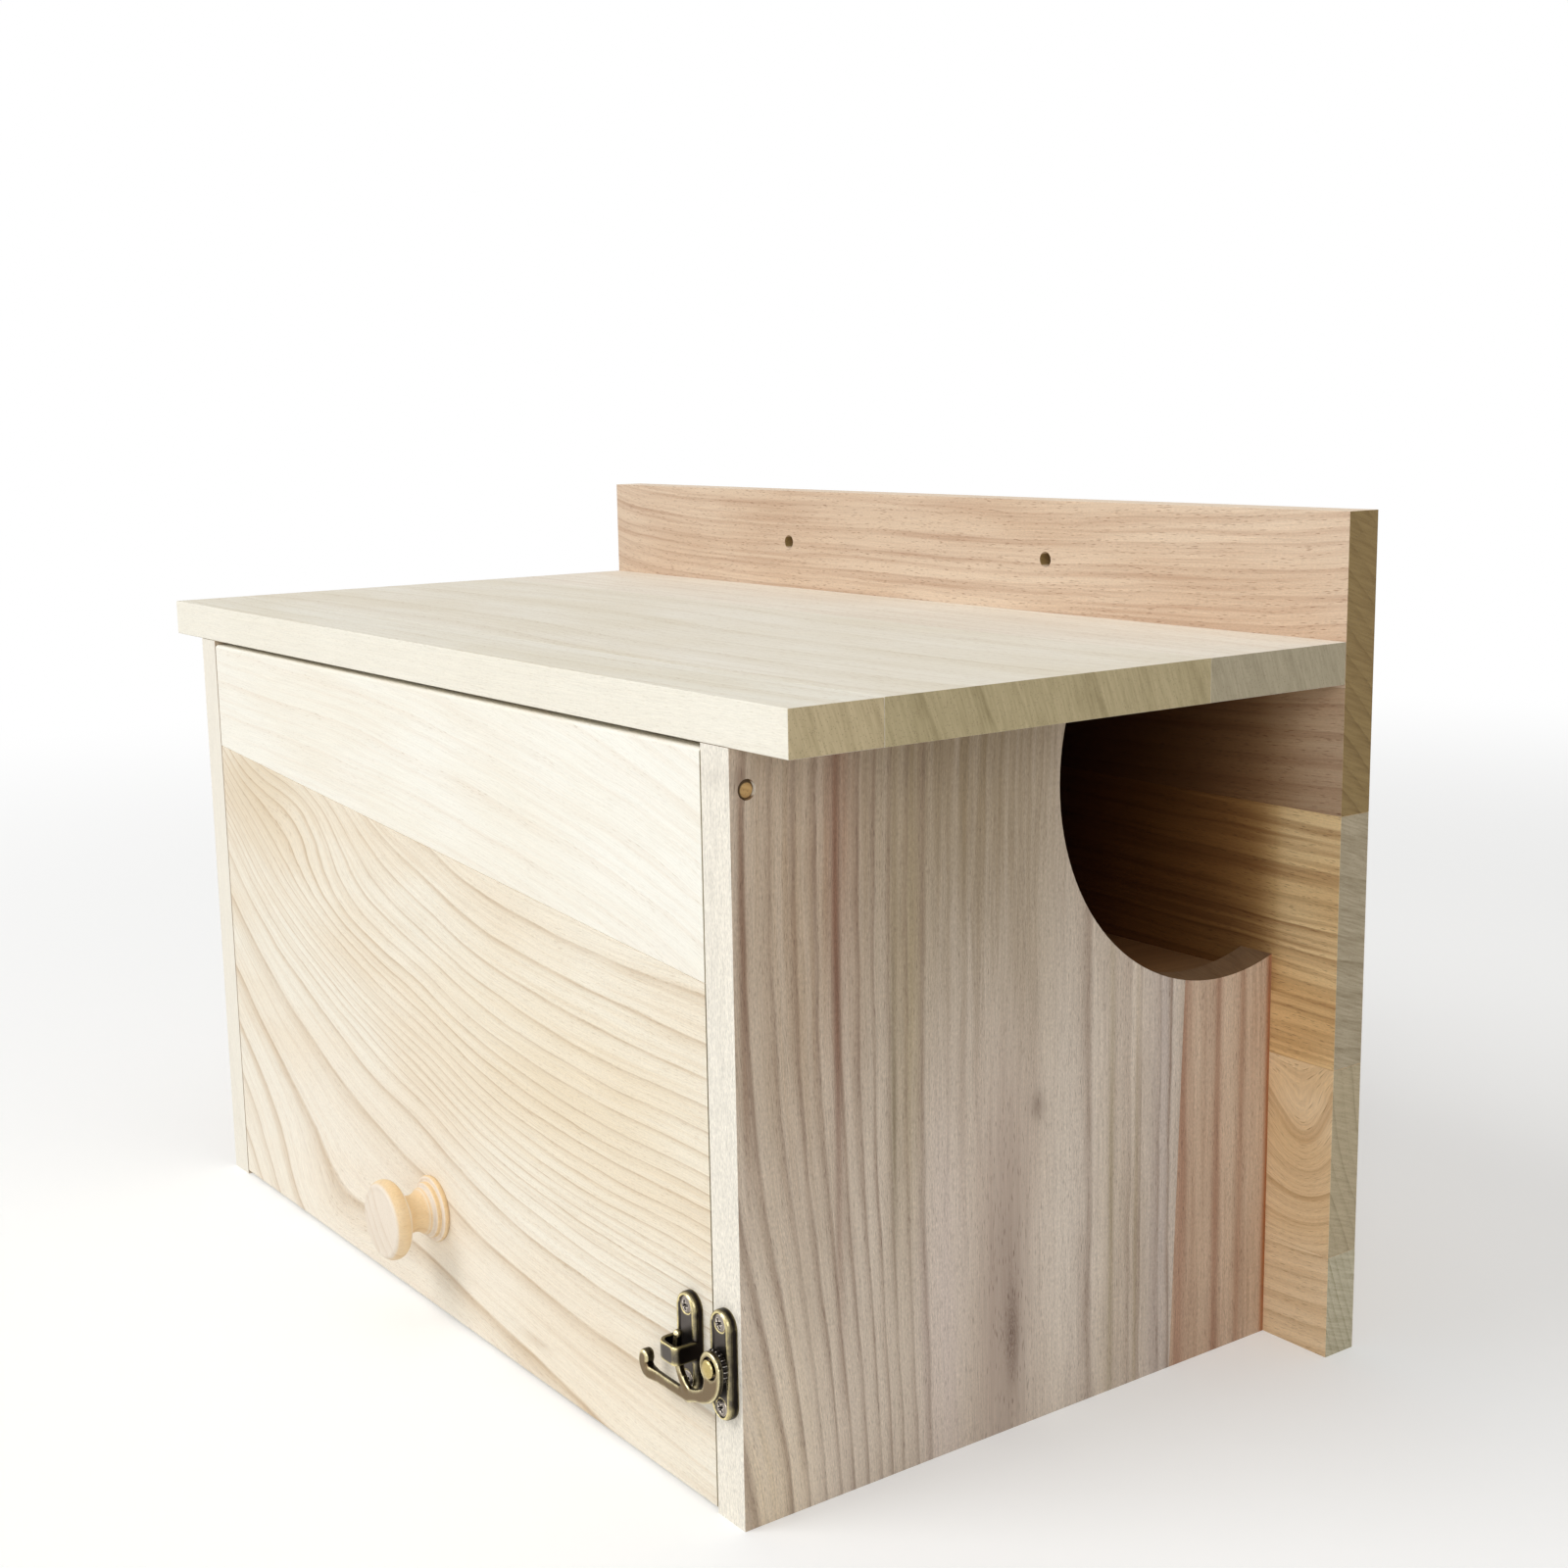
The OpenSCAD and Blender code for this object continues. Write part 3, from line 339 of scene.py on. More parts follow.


# Each board's grain and tones, set to match the photograph; some boards also carry painted shade, marked at the
# board
roofLooks = {"grain": "xyz", "outer": "high"}
backLooks = {"fibre": 0.08, "speckle": 0.08}
# Painted shade inside the box behind the entrance: brightness against place along X
dusk = [(-70, 0.6), (0, 0.3), (40, 0.06), (60, 0.03), (90, 0.06)]
boardLooks = {
    "door_upper_board": {"rings": [*zip([120, 145, 160, 172, 184, 192, 205], range(7)), (230, 8)],
        "sweep": [(-156, 14), (-100, 12), (0, 6), (90, -6), (156, -22)],
        "tones": ((252, 249, 238), (249, 244, 230), (232, 214, 192)), "contrast": 0.45, "sharp": 5.0,
        "streak": 0.25, "pores": 0.14, "seed": 1.3, "lean": 0.8, "wander": 3.0},
    "door_lower_board": {"rings": [(-90, -5), (-40, -2),
        *zip([0, 27, 42, 50, 54, 57.5, 61, 64.5, 68, 72, 76, 80.5, 85, 90, 95.5, 102, 109, 117, 126, 137,
              150], range(21)), (170, 22)],
        "sweep": [(-156, 82), (-120, 57), (-95, 45), (-45, 27), (-7, 17.5), (55, 4), (156, 0)],
        "hills": [(-85, 150, 42, 20, 16), (-92, 0, 52, 30, -26), (62, 12, 60, 16, 6)],
        "stainsAndShade": [(62, 13, 8, 1.6, 0.3), (-128, 150, 34, 22, 0.14)],
        "washes": [(-120, 152, 36, 22, (239, 223, 194), 0.7), (95, 96, 90, 34, (240, 224, 194), 0.6),
        (-60, 20, 120, 50, (246, 236, 222), 0.5)],
        "tones": ((247, 240, 224), (243, 231, 210), (198, 168, 128)), "pore": (178, 146, 106),
        "contrast": 0.62, "sharp": 4.5, "core": 1.0, "streak": 0.3, "seed": 2.1, "wander": 2.6,
        "lean": 0.9, "fibre": 0.07, "speckle": 0.07},
    "roof_front_stave": {**roofLooks, "rings": [(-260, 0), (0, 26)], "sweep": [(-192, 3), (0, -2),
        (192, 2)], "tones": ((236, 231, 217), (230, 223, 205), (206, 192, 164)), "contrast": 0.4,
        "streak": 0.25, "pores": 0.4, "seed": 3.4, "lean": 0.3, "edgePale": (250, 245, 231),
        "edgeMix": 0.7, "end": ((206, 188, 150), (166, 148, 112))},
    "roof_middle_stave": {**roofLooks, "rings": [(-260, 0), (0, 14)], "sweep": [(-192, -6), (-60, 4),
        (80, -5), (192, 3)], "tones": ((236, 230, 216), (230, 222, 204), (204, 190, 162)), "contrast": 0.4,
        "streak": 0.25, "pores": 0.4, "seed": 4.9, "lean": 0.5, "end": ((192, 176, 138), (152, 137, 100))},
    "roof_rear_stave": {**roofLooks, "rings": [(-260, 0), (0, 18)], "sweep": [(-192, 5), (0, 0),
        (192, -5)], "tones": ((238, 231, 217), (232, 222, 206), (206, 189, 164)), "contrast": 0.45,
        "streak": 0.3, "pores": 0.5, "seed": 5.7, "lean": 0.6, "end": ((182, 170, 144), (148, 137, 112))},
    # Back staves: the dimmed curves paint shade inside the box, and on the strip beside it next to the side panel
    # and under the roof
    "back_top_stave": {**backLooks, "rings": [(100, 0), (300, 26)], "sweep": [(-192, 4), (0, -3),
        (192, 2)], "tones": ((226, 204, 180), (216, 190, 164), (180, 144, 118)), "pore": (150, 114, 88),
        "contrast": 0.6, "core": 0.35, "streak": 0.6, "pores": 0.7, "seed": 6.2, "lean": 1.0,
        "edgePale": (242, 224, 200), "edgeMix": 0.6, "dimmed": dusk + [(130, 0.14), (156, 0.28),
        (170, 0.5), (184, 0.72), (200, 0.82)], "dimTop": 199.0, "end": ((153, 129, 84), (116, 91, 52))},
    "back_upper_stave": {"rings": [(60, 0), (100, 6), (125, 9), (150, 12), (180, 14)], "sweep": [(-192, 6),
        (0, 0), (192, -4)], "tones": ((252, 222, 170), (232, 194, 138), (168, 120, 72)),
        "pore": (138, 98, 62), "contrast": 0.8, "streak": 0.75, "pores": 0.6, "seed": 7.7, "lean": 0.25,
        "core": 0.5, "fibre": 0.09, "speckle": 0.08, "dimmed": dusk + [(130, 0.16), (156, 0.33),
        (168, 0.66), (178, 0.97), (200, 1.0)], "end": ((187, 173, 147), (126, 110, 80))},
    "back_lower_stave": {**backLooks, "rings": [(0, 0), (120, 9)], "sweep": [(-192, 6), (0, 0), (192, 8)],
        "tones": ((248, 222, 184), (238, 206, 160), (196, 156, 108)), "pore": (168, 130, 88),
        "contrast": 0.75, "core": 0.5, "streak": 0.5, "pores": 0.6, "seed": 8.3, "lean": 3.0, "sharp": 4.0,
        "hills": [(182, 62, 16, 22, -18)], "dimmed": [(-70, 0.6), (0, 0.3), (40, 0.08), (60, 0.05),
        (90, 0.08), (130, 0.18), (156, 0.40), (166, 0.80), (176, 1.0), (200, 1.0)],
        "end": ((194, 178, 147), (152, 137, 107))},
    "back_foot_stave": {**backLooks, "rings": [(-60, 0), (100, 22)], "sweep": [(-192, 3), (0, 0),
        (192, 4)], "tones": ((250, 228, 194), (244, 216, 176), (204, 168, 122)), "pore": (172, 138, 96),
        "contrast": 0.6, "core": 0.4, "streak": 0.4, "pores": 0.6, "seed": 9.1, "lean": 2.6,
        "end": ((207, 198, 172), (156, 145, 113))},
    # Right side staves: face tones darker and greyer than the front boards', partly the wood's own and partly
    # painted shade of the side away from the key lamp; on the front stave edgeMix keeps the front edge at the pale
    # front tone, the first wash, dark over the top, is painted shade under the roof, and the last dark spot is
    # painted shade round the hinge dowel
    "right_front_stave": {"grain": "zyx", "outer": "high", "rings": [(-280, -6),
        *zip([-218, -206, -199, -191, -184, -178, -171, -165, -160, -155, -149, -143], range(-1, 11)),
        (-138, 10.1), (-96, 10.3), (-83, 11), (-78, 11.3), (-68, 12), (-64, 13), (-56, 14), (-52, 15),
        (-20, 18)], "sweep": [(0, 0), (100, -1), (200, 1)], "hills": [(-12, -198, 80, 34, 20)],
        "stainsAndShade": [(28, -114, 14, 2.6, 0.55), (50, -116, 50, 9, 0.3), (91, -105, 4, 2.6, 0.42),
        (10, -117, 40, 12, 0.12), (192.5, -200.5, 3.0, 3.0, 0.3)],
        "washes": [(190, -128, 75, 50, (146, 127, 99), 0.9), (150, -186, 70, 22, (178, 150, 118), 0.6),
        (185, -172, 60, 5, (150, 104, 80), 0.55), (120, -150, 60, 5, (172, 154, 118), 0.6),
        (125, -173, 90, 1.3, (122, 78, 58), 0.75), (150, -201, 60, 1.3, (128, 88, 62), 0.6),
        (100, -155, 42, 1.0, (112, 96, 62), 0.6), (35, -118, 62, 10, (206, 185, 170), 0.7),
        (36, -139, 60, 9, (222, 206, 197), 0.65), (70, -92, 80, 11, (230, 218, 204), 0.6),
        (60, -77, 120, 1.2, (150, 132, 98), 0.6), (40, -67, 120, 1.0, (160, 140, 108), 0.5),
        (50, -57, 150, 6.5, (200, 186, 176), 0.85), (8, -194, 44, 16, (228, 208, 176), 0.7),
        (16, -168, 50, 22, (228, 213, 196), 0.5), (78, -115, 26, 12, (206, 186, 170), 0.5)],
        "tones": ((224, 209, 192), (210, 194, 175), (128, 98, 78)), "pore": (98, 72, 56), "contrast": 1.0,
        "core": 1.0, "coreSharp": 12.0, "streak": 0.34, "pores": 0.36, "seed": 10.6, "lean": 0.5,
        "luckFrom": 0.5, "streaks": (0.010, 0.34, 3.0, 11.0), "sharp": 3.0, "drop": 0.82, "ripple": 0.8,
        "wander": 1.4, "fibre": 0.14, "speckle": 0.17, "edgeMix": 0.86,
        "end": ((152, 124, 94), (116, 90, 64))},
    "right_rear_stave": {"grain": "zyx", "outer": "high", "rings": [(-70, 0), (-45, 1), (-33, 2), (-22, 3),
        (-10, 4)], "sweep": [(0, 2), (200, -2)], "washes": [(60, -49, 200, 3.0, (172, 130, 106), 0.75),
        (60, -12.6, 200, 1.3, (164, 92, 34), 1.0), (60, -34, 200, 1.6, (170, 128, 104), 0.7),
        (60, -24, 200, 1.2, (176, 136, 110), 0.6)],
        "tones": ((213, 189, 165), (202, 174, 149), (144, 104, 80)), "pore": (112, 80, 62),
        "contrast": 0.7, "core": 0.6, "streak": 0.45, "pores": 0.45, "seed": 11.8, "lean": 0.6,
        "sharp": 2.4, "drop": 0.8, "fibre": 0.14, "speckle": 0.17, "streaks": (0.010, 0.35, 3.0, 11.0),
        "end": ((152, 122, 92), (118, 90, 64))},
    "left_front_stave": {"grain": "zyx", "rings": [(-230, 0), (-80, 15)], "sweep": [(0, 6), (90, -3),
        (200, 2)], "tones": ((222, 207, 186), (212, 194, 170), (158, 132, 108)), "contrast": 0.55,
        "streak": 0.3, "seed": 12.4, "core": 0.4, "edgeMix": 0.86},
    "left_rear_stave": {"grain": "zyx", "rings": [(-110, 0), (-5, 14)], "sweep": [(0, -4), (110, 4),
        (200, -2)], "tones": ((218, 200, 174), (206, 184, 156), (158, 130, 104)), "streak": 0.35,
        "seed": 13.9},
    "floor_board": {"grain": "xyz", "outer": "high", "rings": [(-230, 0), (0, 22)], "sweep": [(-160, 8),
        (0, -4), (160, 6)], "tones": ((226, 206, 174), (214, 190, 154), (178, 150, 112)), "streak": 0.35,
        "seed": 14.3},
    "entrance_ledge": {"grain": "yxz", "outer": "high", "rings": [(40, 0), (170, 12)], "sweep": [(-200, 5),
        (-100, -3), (0, 4)], "tones": ((214, 180, 142), (200, 164, 126), (150, 116, 84)),
        # Painted shade on the ledge's top inside the box
        "dimmed": [(0, 0.5), (40, 0.3), (70, 0.2), (90, 0.2), (130, 0.36), (156, 0.64), (200, 0.7)],
        "streak": 0.4, "pores": 0.4, "seed": 15.2},
}
edgeRound = {"width": 0.35, "steps": 2, "angle": 30, "weld": 1e-6, "flat": 0.4}


def nodeBox(node):
    # Lowest and highest corner of a node, in millimetres
    low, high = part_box(node)
    return np.array(low) / mm, np.array(high) / mm


def linked(name, data):
    # A new object in the scene
    thing = bpy.data.objects.new(name, data)
    bpy.context.scene.collection.objects.link(thing)
    return thing


def modify(holder, modifiers):
    # Adds the modifiers named by type, in their order
    for kind, choices in modifiers.items():
        given(holder.modifiers.new(kind, kind), **choices)


def paint(thing, material):
    # One material for the whole thing, in place of those it had
    thing.data.materials.clear()
    thing.data.materials.append(material)


def register(piece, material, node):
    # Puts a finished mesh, with its material, on the body whose list names its node, in place of the node, which
    # it hides
    record = frame["record"]
    paint(piece, material)
    body = [body for body, members in record["behaviour"]["bodies"].items() if node in members][0]
    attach(piece, body)
    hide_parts(node)


def easedBoard(node, looks, s):
    # The board's own outline and holes, with its sharp edges rounded
    mesh = frame["nodes"][node].data.copy()
    shape = bmesh.new()
    shape.from_mesh(mesh)
    bmesh.ops.remove_doubles(shape, verts=shape.verts, dist=s["weld"])
    flat = math.radians(s["flat"])
    bmesh.ops.dissolve_limit(shape, angle_limit=flat, verts=shape.verts, edges=shape.edges)
    for face in shape.faces:
        face.smooth = True
    shape.to_mesh(mesh)
    shape.free()
    piece = linked(node + "_wood", mesh)
    modify(piece, {"BEVEL": {"width": s["width"] * mm, "segments": s["steps"], "limit_method": "ANGLE",
                             "angle_limit": math.radians(s["angle"])},
                   "WEIGHTED_NORMAL": {"weight": 100, "keep_sharp": True}})
    low, high = nodeBox(node)
    axis = "xyz".index(looks.get("grain", woodBase["grain"])[2])
    face = (high if looks.get("outer") == "high" else low)[axis]
    register(piece, woodMaterial(node + "_grain", looks, float(face)), node)


# The ledge's top edge gets the painted shade with its top, so the painted shade starts a little lower
woodBase["dimFoot"] = float(nodeBox("entrance_ledge")[1][2]) - 4
for boardName, looks in boardLooks.items():
    easedBoard(boardName, looks, edgeRound)
print("boards:", len(boardLooks))

pivot = [joint["pos_m"] for joint in frame["joints"] if joint["name"] == "hook_pivot"][0]
pivotX, pivotZ = pivot[0] / mm, pivot[2] / mm
frontY = nodeBox("door_upper_board")[0][1]


def onFront(points, x=pivotX, z=pivotZ):
    # From (right, up, out of the front) round a place on the front face to the box's own axes
    u, v, w = (points[..., i] for i in range(3))
    return np.stack([x + u, frontY - w, z + v], axis=-1)


def meshOf(name, points, faces, outwards=True):
    # Mesh of points in millimetres, with those that coincide merged and its faces turned outwards
    mesh = bpy.data.meshes.new(name)
    mesh.from_pydata((points.reshape(-1, 3) * mm).tolist(), [], faces)
    shape = bmesh.new()
    shape.from_mesh(mesh)
    bmesh.ops.remove_doubles(shape, verts=shape.verts, dist=1e-7)
    if outwards:
        bmesh.ops.recalc_face_normals(shape, faces=shape.faces)
    shape.to_mesh(mesh)
    shape.free()
    return mesh


def gridMesh(name, points, wrapRows=False, wrapCols=False, capEnds=False):
    # Point (i, j) of the grid meets (i+1, j) and (i, j+1), and the first and last rows can be capped
    rows, cols = points.shape[:2]
    i = np.arange(rows if wrapRows else rows - 1)[:, None]
    j = np.arange(cols if wrapCols else cols - 1)[None, :]
    after, beside = (i + 1) % rows * cols, (j + 1) % cols
    quads = np.broadcast_arrays(i * cols + j, i * cols + beside, after + beside, after + j)
    faces = np.stack(quads, axis=-1).reshape(-1, 4).tolist()
    if capEnds:
        faces += [list(range(cols)), list(range((rows - 1) * cols, rows * cols))[::-1]]
    mesh = meshOf(name, points, faces)
    mesh.shade_smooth()
    return mesh


def arc(centre, radius, start, end, steps):
    # centre + radius * (cos a, sin a) as a goes from start to end in degrees
    a = np.radians(np.linspace(start, end, steps))
    return np.stack([centre[0] + radius * np.cos(a), centre[1] + radius * np.sin(a)], axis=-1)


def turned(profile, steps, scallops=0, depth=0.0):
    # Profile of (radius, height) carried round an axis; between narrow crests the radius dips by depth
    a = np.linspace(0, 2 * np.pi, steps, endpoint=False)[:, None]
    radius, height = profile[None, :, 0], profile[None, :, 1]
    dip = 1 - depth * (1 - (0.5 + 0.5 * np.cos(scallops * a)) ** 2) * (radius > 0.85 * radius.max())
    r = radius * dip
    return np.stack([r * np.cos(a), r * np.sin(a), height + 0 * a], axis=-1)


def swept(path, halfWidth, halfDepth, middle, squareness, steps):
    # Rounded-square section |x/a|^n + |y/b|^n = 1 carried along a flat path, in (right, up, out)
    t = np.linspace(0, 2 * np.pi, steps, endpoint=False)
    across, out = (np.sign(c) * np.abs(c) ** (2 / squareness) for c in (np.cos(t), np.sin(t)))
    run = np.gradient(path, axis=0)
    run /= np.linalg.norm(run, axis=1)[:, None]
    side = np.stack([-run[:, 1], run[:, 0]], axis=-1)
    flat = path[:, None, :] + side[:, None, :] * (halfWidth * across)[:, None]
    level = np.broadcast_to(middle + halfDepth * out, flat.shape[:2])
    return np.concatenate([flat, level[..., None]], axis=-1)


def placed(mesh, x=pivotX, z=pivotZ):
    # Moves a mesh from its place on the front face to the box's own axes
    spots = np.empty(len(mesh.vertices) * 3)
    mesh.vertices.foreach_get("co", spots)
    mesh.vertices.foreach_set("co", onFront(spots.reshape(-1, 3) / mm, x, z).ravel() * mm)
    return mesh


def joined(name, meshes):
    # One mesh that holds all the given ones
    shape = bmesh.new()
    for mesh in meshes:
        shape.from_mesh(mesh)
    whole = bpy.data.meshes.new(name)
    shape.to_mesh(whole)
    shape.free()
    return whole


def settled(name, mesh, modifiers):
    # The mesh after the modifiers named by type, in their order
    holder = linked(name, mesh)
    modify(holder, modifiers)
    bpy.context.view_layer.update()
    made = holder.evaluated_get(bpy.context.evaluated_depsgraph_get())
    result = bpy.data.meshes.new_from_object(made)
    result.name = name
    bpy.data.objects.remove(holder)
    return result


def cutBy(name, mesh, cutter):
    # The mesh without what lies inside the cutter
    tool = linked("cutter", cutter)
    result = settled(name, mesh, {"BOOLEAN": {"operation": "DIFFERENCE", "solver": "EXACT", "object": tool}})
    bpy.data.objects.remove(tool)
    return result


def wearAndShadingFromShape(mesh, reach, gain):
    # Wear and shading = 0.5 + gain * how far a point stands out, along its normal, from its smoothed place: high
    # on edges (worn brass and painted highlight), low in hollows (patina and painted shade); each of reach rounds
    # moves a point 0.6 of the way to the mean of its neighbours
    count = len(mesh.vertices)
    spots, normals = np.empty(count * 3), np.empty(count * 3)
    mesh.vertices.foreach_get("co", spots)
    mesh.vertices.foreach_get("normal", normals)
    ends = np.empty(len(mesh.edges) * 2, dtype=np.int32)
    mesh.edges.foreach_get("vertices", ends)
    first, second = ends.reshape(-1, 2).T
    ties = np.bincount(ends, minlength=count)
    spots, normals = spots.reshape(-1, 3) / mm, normals.reshape(-1, 3)
    smooth = spots.copy()
    for _ in range(reach):
        total = np.stack([np.bincount(first, smooth[second, k], count)
                          + np.bincount(second, smooth[first, k], count) for k in range(3)], axis=-1)
        smooth = 0.4 * smooth + 0.6 * total / ties[:, None]
    wearAndShading = np.clip(0.5 + gain * ((spots - smooth) * normals).sum(axis=1), 0, 1)
    mesh.attributes.new("wearAndShading", "FLOAT", "POINT").data.foreach_set("value", wearAndShading.astype(np.float32))


def castPiece(name, node, shells, material, voxel=0.12, soften=3, reach=44, gain=2.4):
    # Overlapping shells fused into one casting with soft edges, then given its wear with painted highlight and
    # shade
    mesh = settled(name, joined(name, shells), {
        "REMESH": {"mode": "VOXEL", "voxel_size": voxel * mm},
        "SMOOTH": {"factor": 0.5, "iterations": soften}})
    mesh.shade_smooth()
    wearAndShadingFromShape(mesh, reach, gain)
    register(linked(name, mesh), material, node)


plateMetal = metalMaterial("plateMetal", {
    "rough": 0.36, "wearAndShading": (0.54, 0.74), "wall": 0.08, "wallAt": 0.46})

# Latch plates: a round-ended outline with a worn rim round a slightly lower field; the points of rim and
# sink are (inset or radius, height above the front face)
plateForm = {"rim": [(0.0, 1.6), (0.1, 2.0), (0.34, 2.4), (0.7, 2.7), (1.05, 2.8), (1.35, 2.72),
                     (1.62, 2.46), (1.8, 2.36)], "field": 2.34,
             "sink": [(0, 1.2), (2.2, 1.2), (2.2, 2.1), (2.75, 2.75), (2.75, 4.0), (0, 4.0)],
             "screwInset": 3.4, "steps": 48}


def plateSpan(node):
    # Lower and upper end from the pivot's height, and the middle's place along X
    low, high = nodeBox(node)
    return low[2] - pivotZ, high[2] - pivotZ, (low[0] + high[0]) / 2


def plateShell(foot, top, s):
    # Half-circles of falling radius round the two ends of the plate's spine, one for each profile point;
    # both plates are as wide as the hook's
    low, high = nodeBox("latch_plate")
    half = (high[0] - low[0]) / 2
    turn = np.linspace(0, np.pi, s["steps"])
    a = np.concatenate([turn, turn + np.pi])
    end = np.repeat([top - half, foot + half], s["steps"])
    profile = [(half, 0.0), (0.0, 0.0)] + s["rim"] + [(half, s["field"])]
    rings = [np.stack([(half - inset) * np.cos(a), end + (half - inset) * np.sin(a), w + 0 * a], axis=-1)
             for inset, w in profile]
    return gridMesh("plate", np.stack(rings, axis=0), wrapCols=True)


def boredPlate(name, foot, top, s):
    # The shell with a countersunk hole near each end
    shell = plateShell(foot, top, s)
    for up in (top - s["screwInset"], foot + s["screwInset"]):
        sink = gridMesh("sink", turned(np.array(s["sink"]), s["steps"]), wrapRows=True)
        sink.transform(Matrix.Translation((0, up * mm, 0)))
        shell = cutBy(name, shell, sink)
    return shell


def makeHookPlate(s):
    foot, top, middle = plateSpan("latch_plate")
    shell = boredPlate("latchPlate", foot, top, s)
    castPiece("latchPlate", "latch_plate", [placed(shell, middle)], plateMetal)


# Catch: a plate like the first, with a bent loop for the prong
loopForm = {"width": 9.0, "reach": 9.0, "leftCorner": 2.7, "rightCorner": 1.0, "wall": 1.25, "foot": -2.9,
            "height": 5.0, "root": 0.8, "cornerSteps": 14, "squareness": 6.0, "sectionSteps": 32}


def makeCatchPlate(s, loop):
    foot, top, middle = plateSpan("catch_plate")
    shell = boredPlate("catchPlate", foot, top, s)
    # The loop's path lies level: out of the plate, across and back, so its section stands upright
    inner = loop["width"] / 2 - loop["wall"] / 2
    deep, left, right = loop["reach"] - loop["wall"] / 2, loop["leftCorner"], loop["rightCorner"]
    path = np.concatenate([[(inner, loop["root"])],
                           arc((inner - right, deep - right), right, 0, 90, loop["cornerSteps"]),
                           arc((left - inner, deep - left), left, 90, 180, loop["cornerSteps"]),
                           [(-inner, loop["root"])]])
    band = swept(path, loop["wall"] / 2, loop["height"] / 2, loop["foot"] + loop["height"] / 2,
                 loop["squareness"], loop["sectionSteps"])
    band = gridMesh("band", band[..., [0, 2, 1]], wrapCols=True, capEnds=True)
    castPiece("catchPlate", "catch_plate", [placed(shell, middle), placed(band, middle)], plateMetal)


hookMetal = metalMaterial("hookMetal", {
    "tones": ((24, 17, 12), (124, 106, 80), (248, 236, 188)), "wearAndShading": (0.555, 0.8), "wall": 0.04,
    "wallWear": 0.12})

# Hook, round the pivot: eye, crescent arm, prong and lever with its curl, as distances to their outlines
hookForm = {"middle": 5.28, "half": 0.8, "step": 0.12, "round": 1.15, "square": 2.6,
            "backRound": 0.3, "backSquare": 6.0,
            "from": (-35.0, -15.0), "to": (6.0, 6.5),
            "eye": 4.35, "bore": 2.85, "hole": 1.72, "floor": -0.2,
            "outerCentre": (-5.0, -1.2), "outer": 9.5, "innerCentre": (-8.1, -3.8), "inner": 5.35,
            "armTop": ((-4.4, -0.3), (4.3, 1.0)), "armLeft": (-8.0, -7.0),
            "prongArc": 15.4, "prongRoot": 224, "prongTop": 165, "prongHalf": 0.9, "prongFoot": 1.2,
            "prongFlare": 1.6, "prongSteps": 90, "prongProud": 0.2, "prongAt": (-11, -8), "proudFade": 4,
            "ball": 1.1, "leverRoot": (-4.6, -9.1), "leverBend": (-10.5, -11.6), "leverReach": -28.3,
            "leverHalf": 1.5, "leverSteps": 60, "leverFlare": 6, "rootSteps": 20,
            "curl": 2.4, "curlHalf": 2.05, "curlNeck": 0.9, "curlEnd": -216, "curlSteps": 30,
            "curlAt": -25, "curlProud": 0.5, "blends": (0.5, 1.6, 1.5)}


def smoothLeast(a, b, reach):
    # The lesser of two distances, less reach * h^2 / 4 where h = 1 - |a - b| / reach is above 0
    h = np.maximum(reach - np.abs(a - b), 0) / reach
    return np.minimum(a, b) - h * h * reach / 4


def beaded(spots, path, radii):
    # Distance to a row of discs: the least of |p - c| - r
    far = np.full(spots.shape[:2], np.inf)
    for centre, radius in zip(path, radii):
        far = np.minimum(far, np.linalg.norm(spots - centre, axis=-1) - radius)
    return far


def hookOutline(spots, s):
    # Crescent = inside the outer circle, outside the inner one, below the eye and below the pocket's left
    # end; eye, crescent, lever and prong then flow together
    u, v = spots[..., 0], spots[..., 1]
    (topU, topV), (endU, endV) = s["armTop"]
    rise = (endV - topV) / (endU - topU)
    below = (v - topV - rise * (u - topU)) / math.hypot(1, rise)
    pocket = np.minimum(s["armLeft"][0] - u, v - s["armLeft"][1])
    outer = np.linalg.norm(spots - s["outerCentre"], axis=-1) - s["outer"]
    inner = s["inner"] - np.linalg.norm(spots - s["innerCentre"], axis=-1)
    crescent = np.maximum.reduce([outer, inner, below, pocket])
    # The lever's half-width falls from the curl's along (distance)^flare, and the prong's from its foot's
    reach, (bend, drop) = s["leverReach"], s["leverBend"]
    straight = np.linspace((reach, drop), (bend, drop), s["leverSteps"])
    root = np.linspace((bend, drop), s["leverRoot"], s["rootSteps"])
    curl = arc((reach, drop + s["curl"]), s["curl"], s["curlEnd"], -90, s["curlSteps"])
    neck = s["curlHalf"] * s["curlNeck"]
    falling = np.linspace(1, 0, s["leverSteps"]) ** s["leverFlare"]
    radii = np.concatenate([np.linspace(s["curlHalf"], neck, s["curlSteps"]),
                            s["leverHalf"] + (neck - s["leverHalf"]) * falling,
                            np.full(s["rootSteps"], s["leverHalf"])])
    lever = beaded(spots, np.concatenate([curl, straight, root]), radii)
    prong = arc((0, 0), s["prongArc"], s["prongRoot"], s["prongTop"], s["prongSteps"])
    falling = np.linspace(1, 0, s["prongSteps"]) ** s["prongFlare"]
    prong = beaded(spots, prong, s["prongHalf"] + (s["prongFoot"] - s["prongHalf"]) * falling)
    whole = np.hypot(u, v) - s["eye"]
    for part, blend in zip((crescent, lever, prong), s["blends"]):
        whole = smoothLeast(whole, part, blend)
    return whole


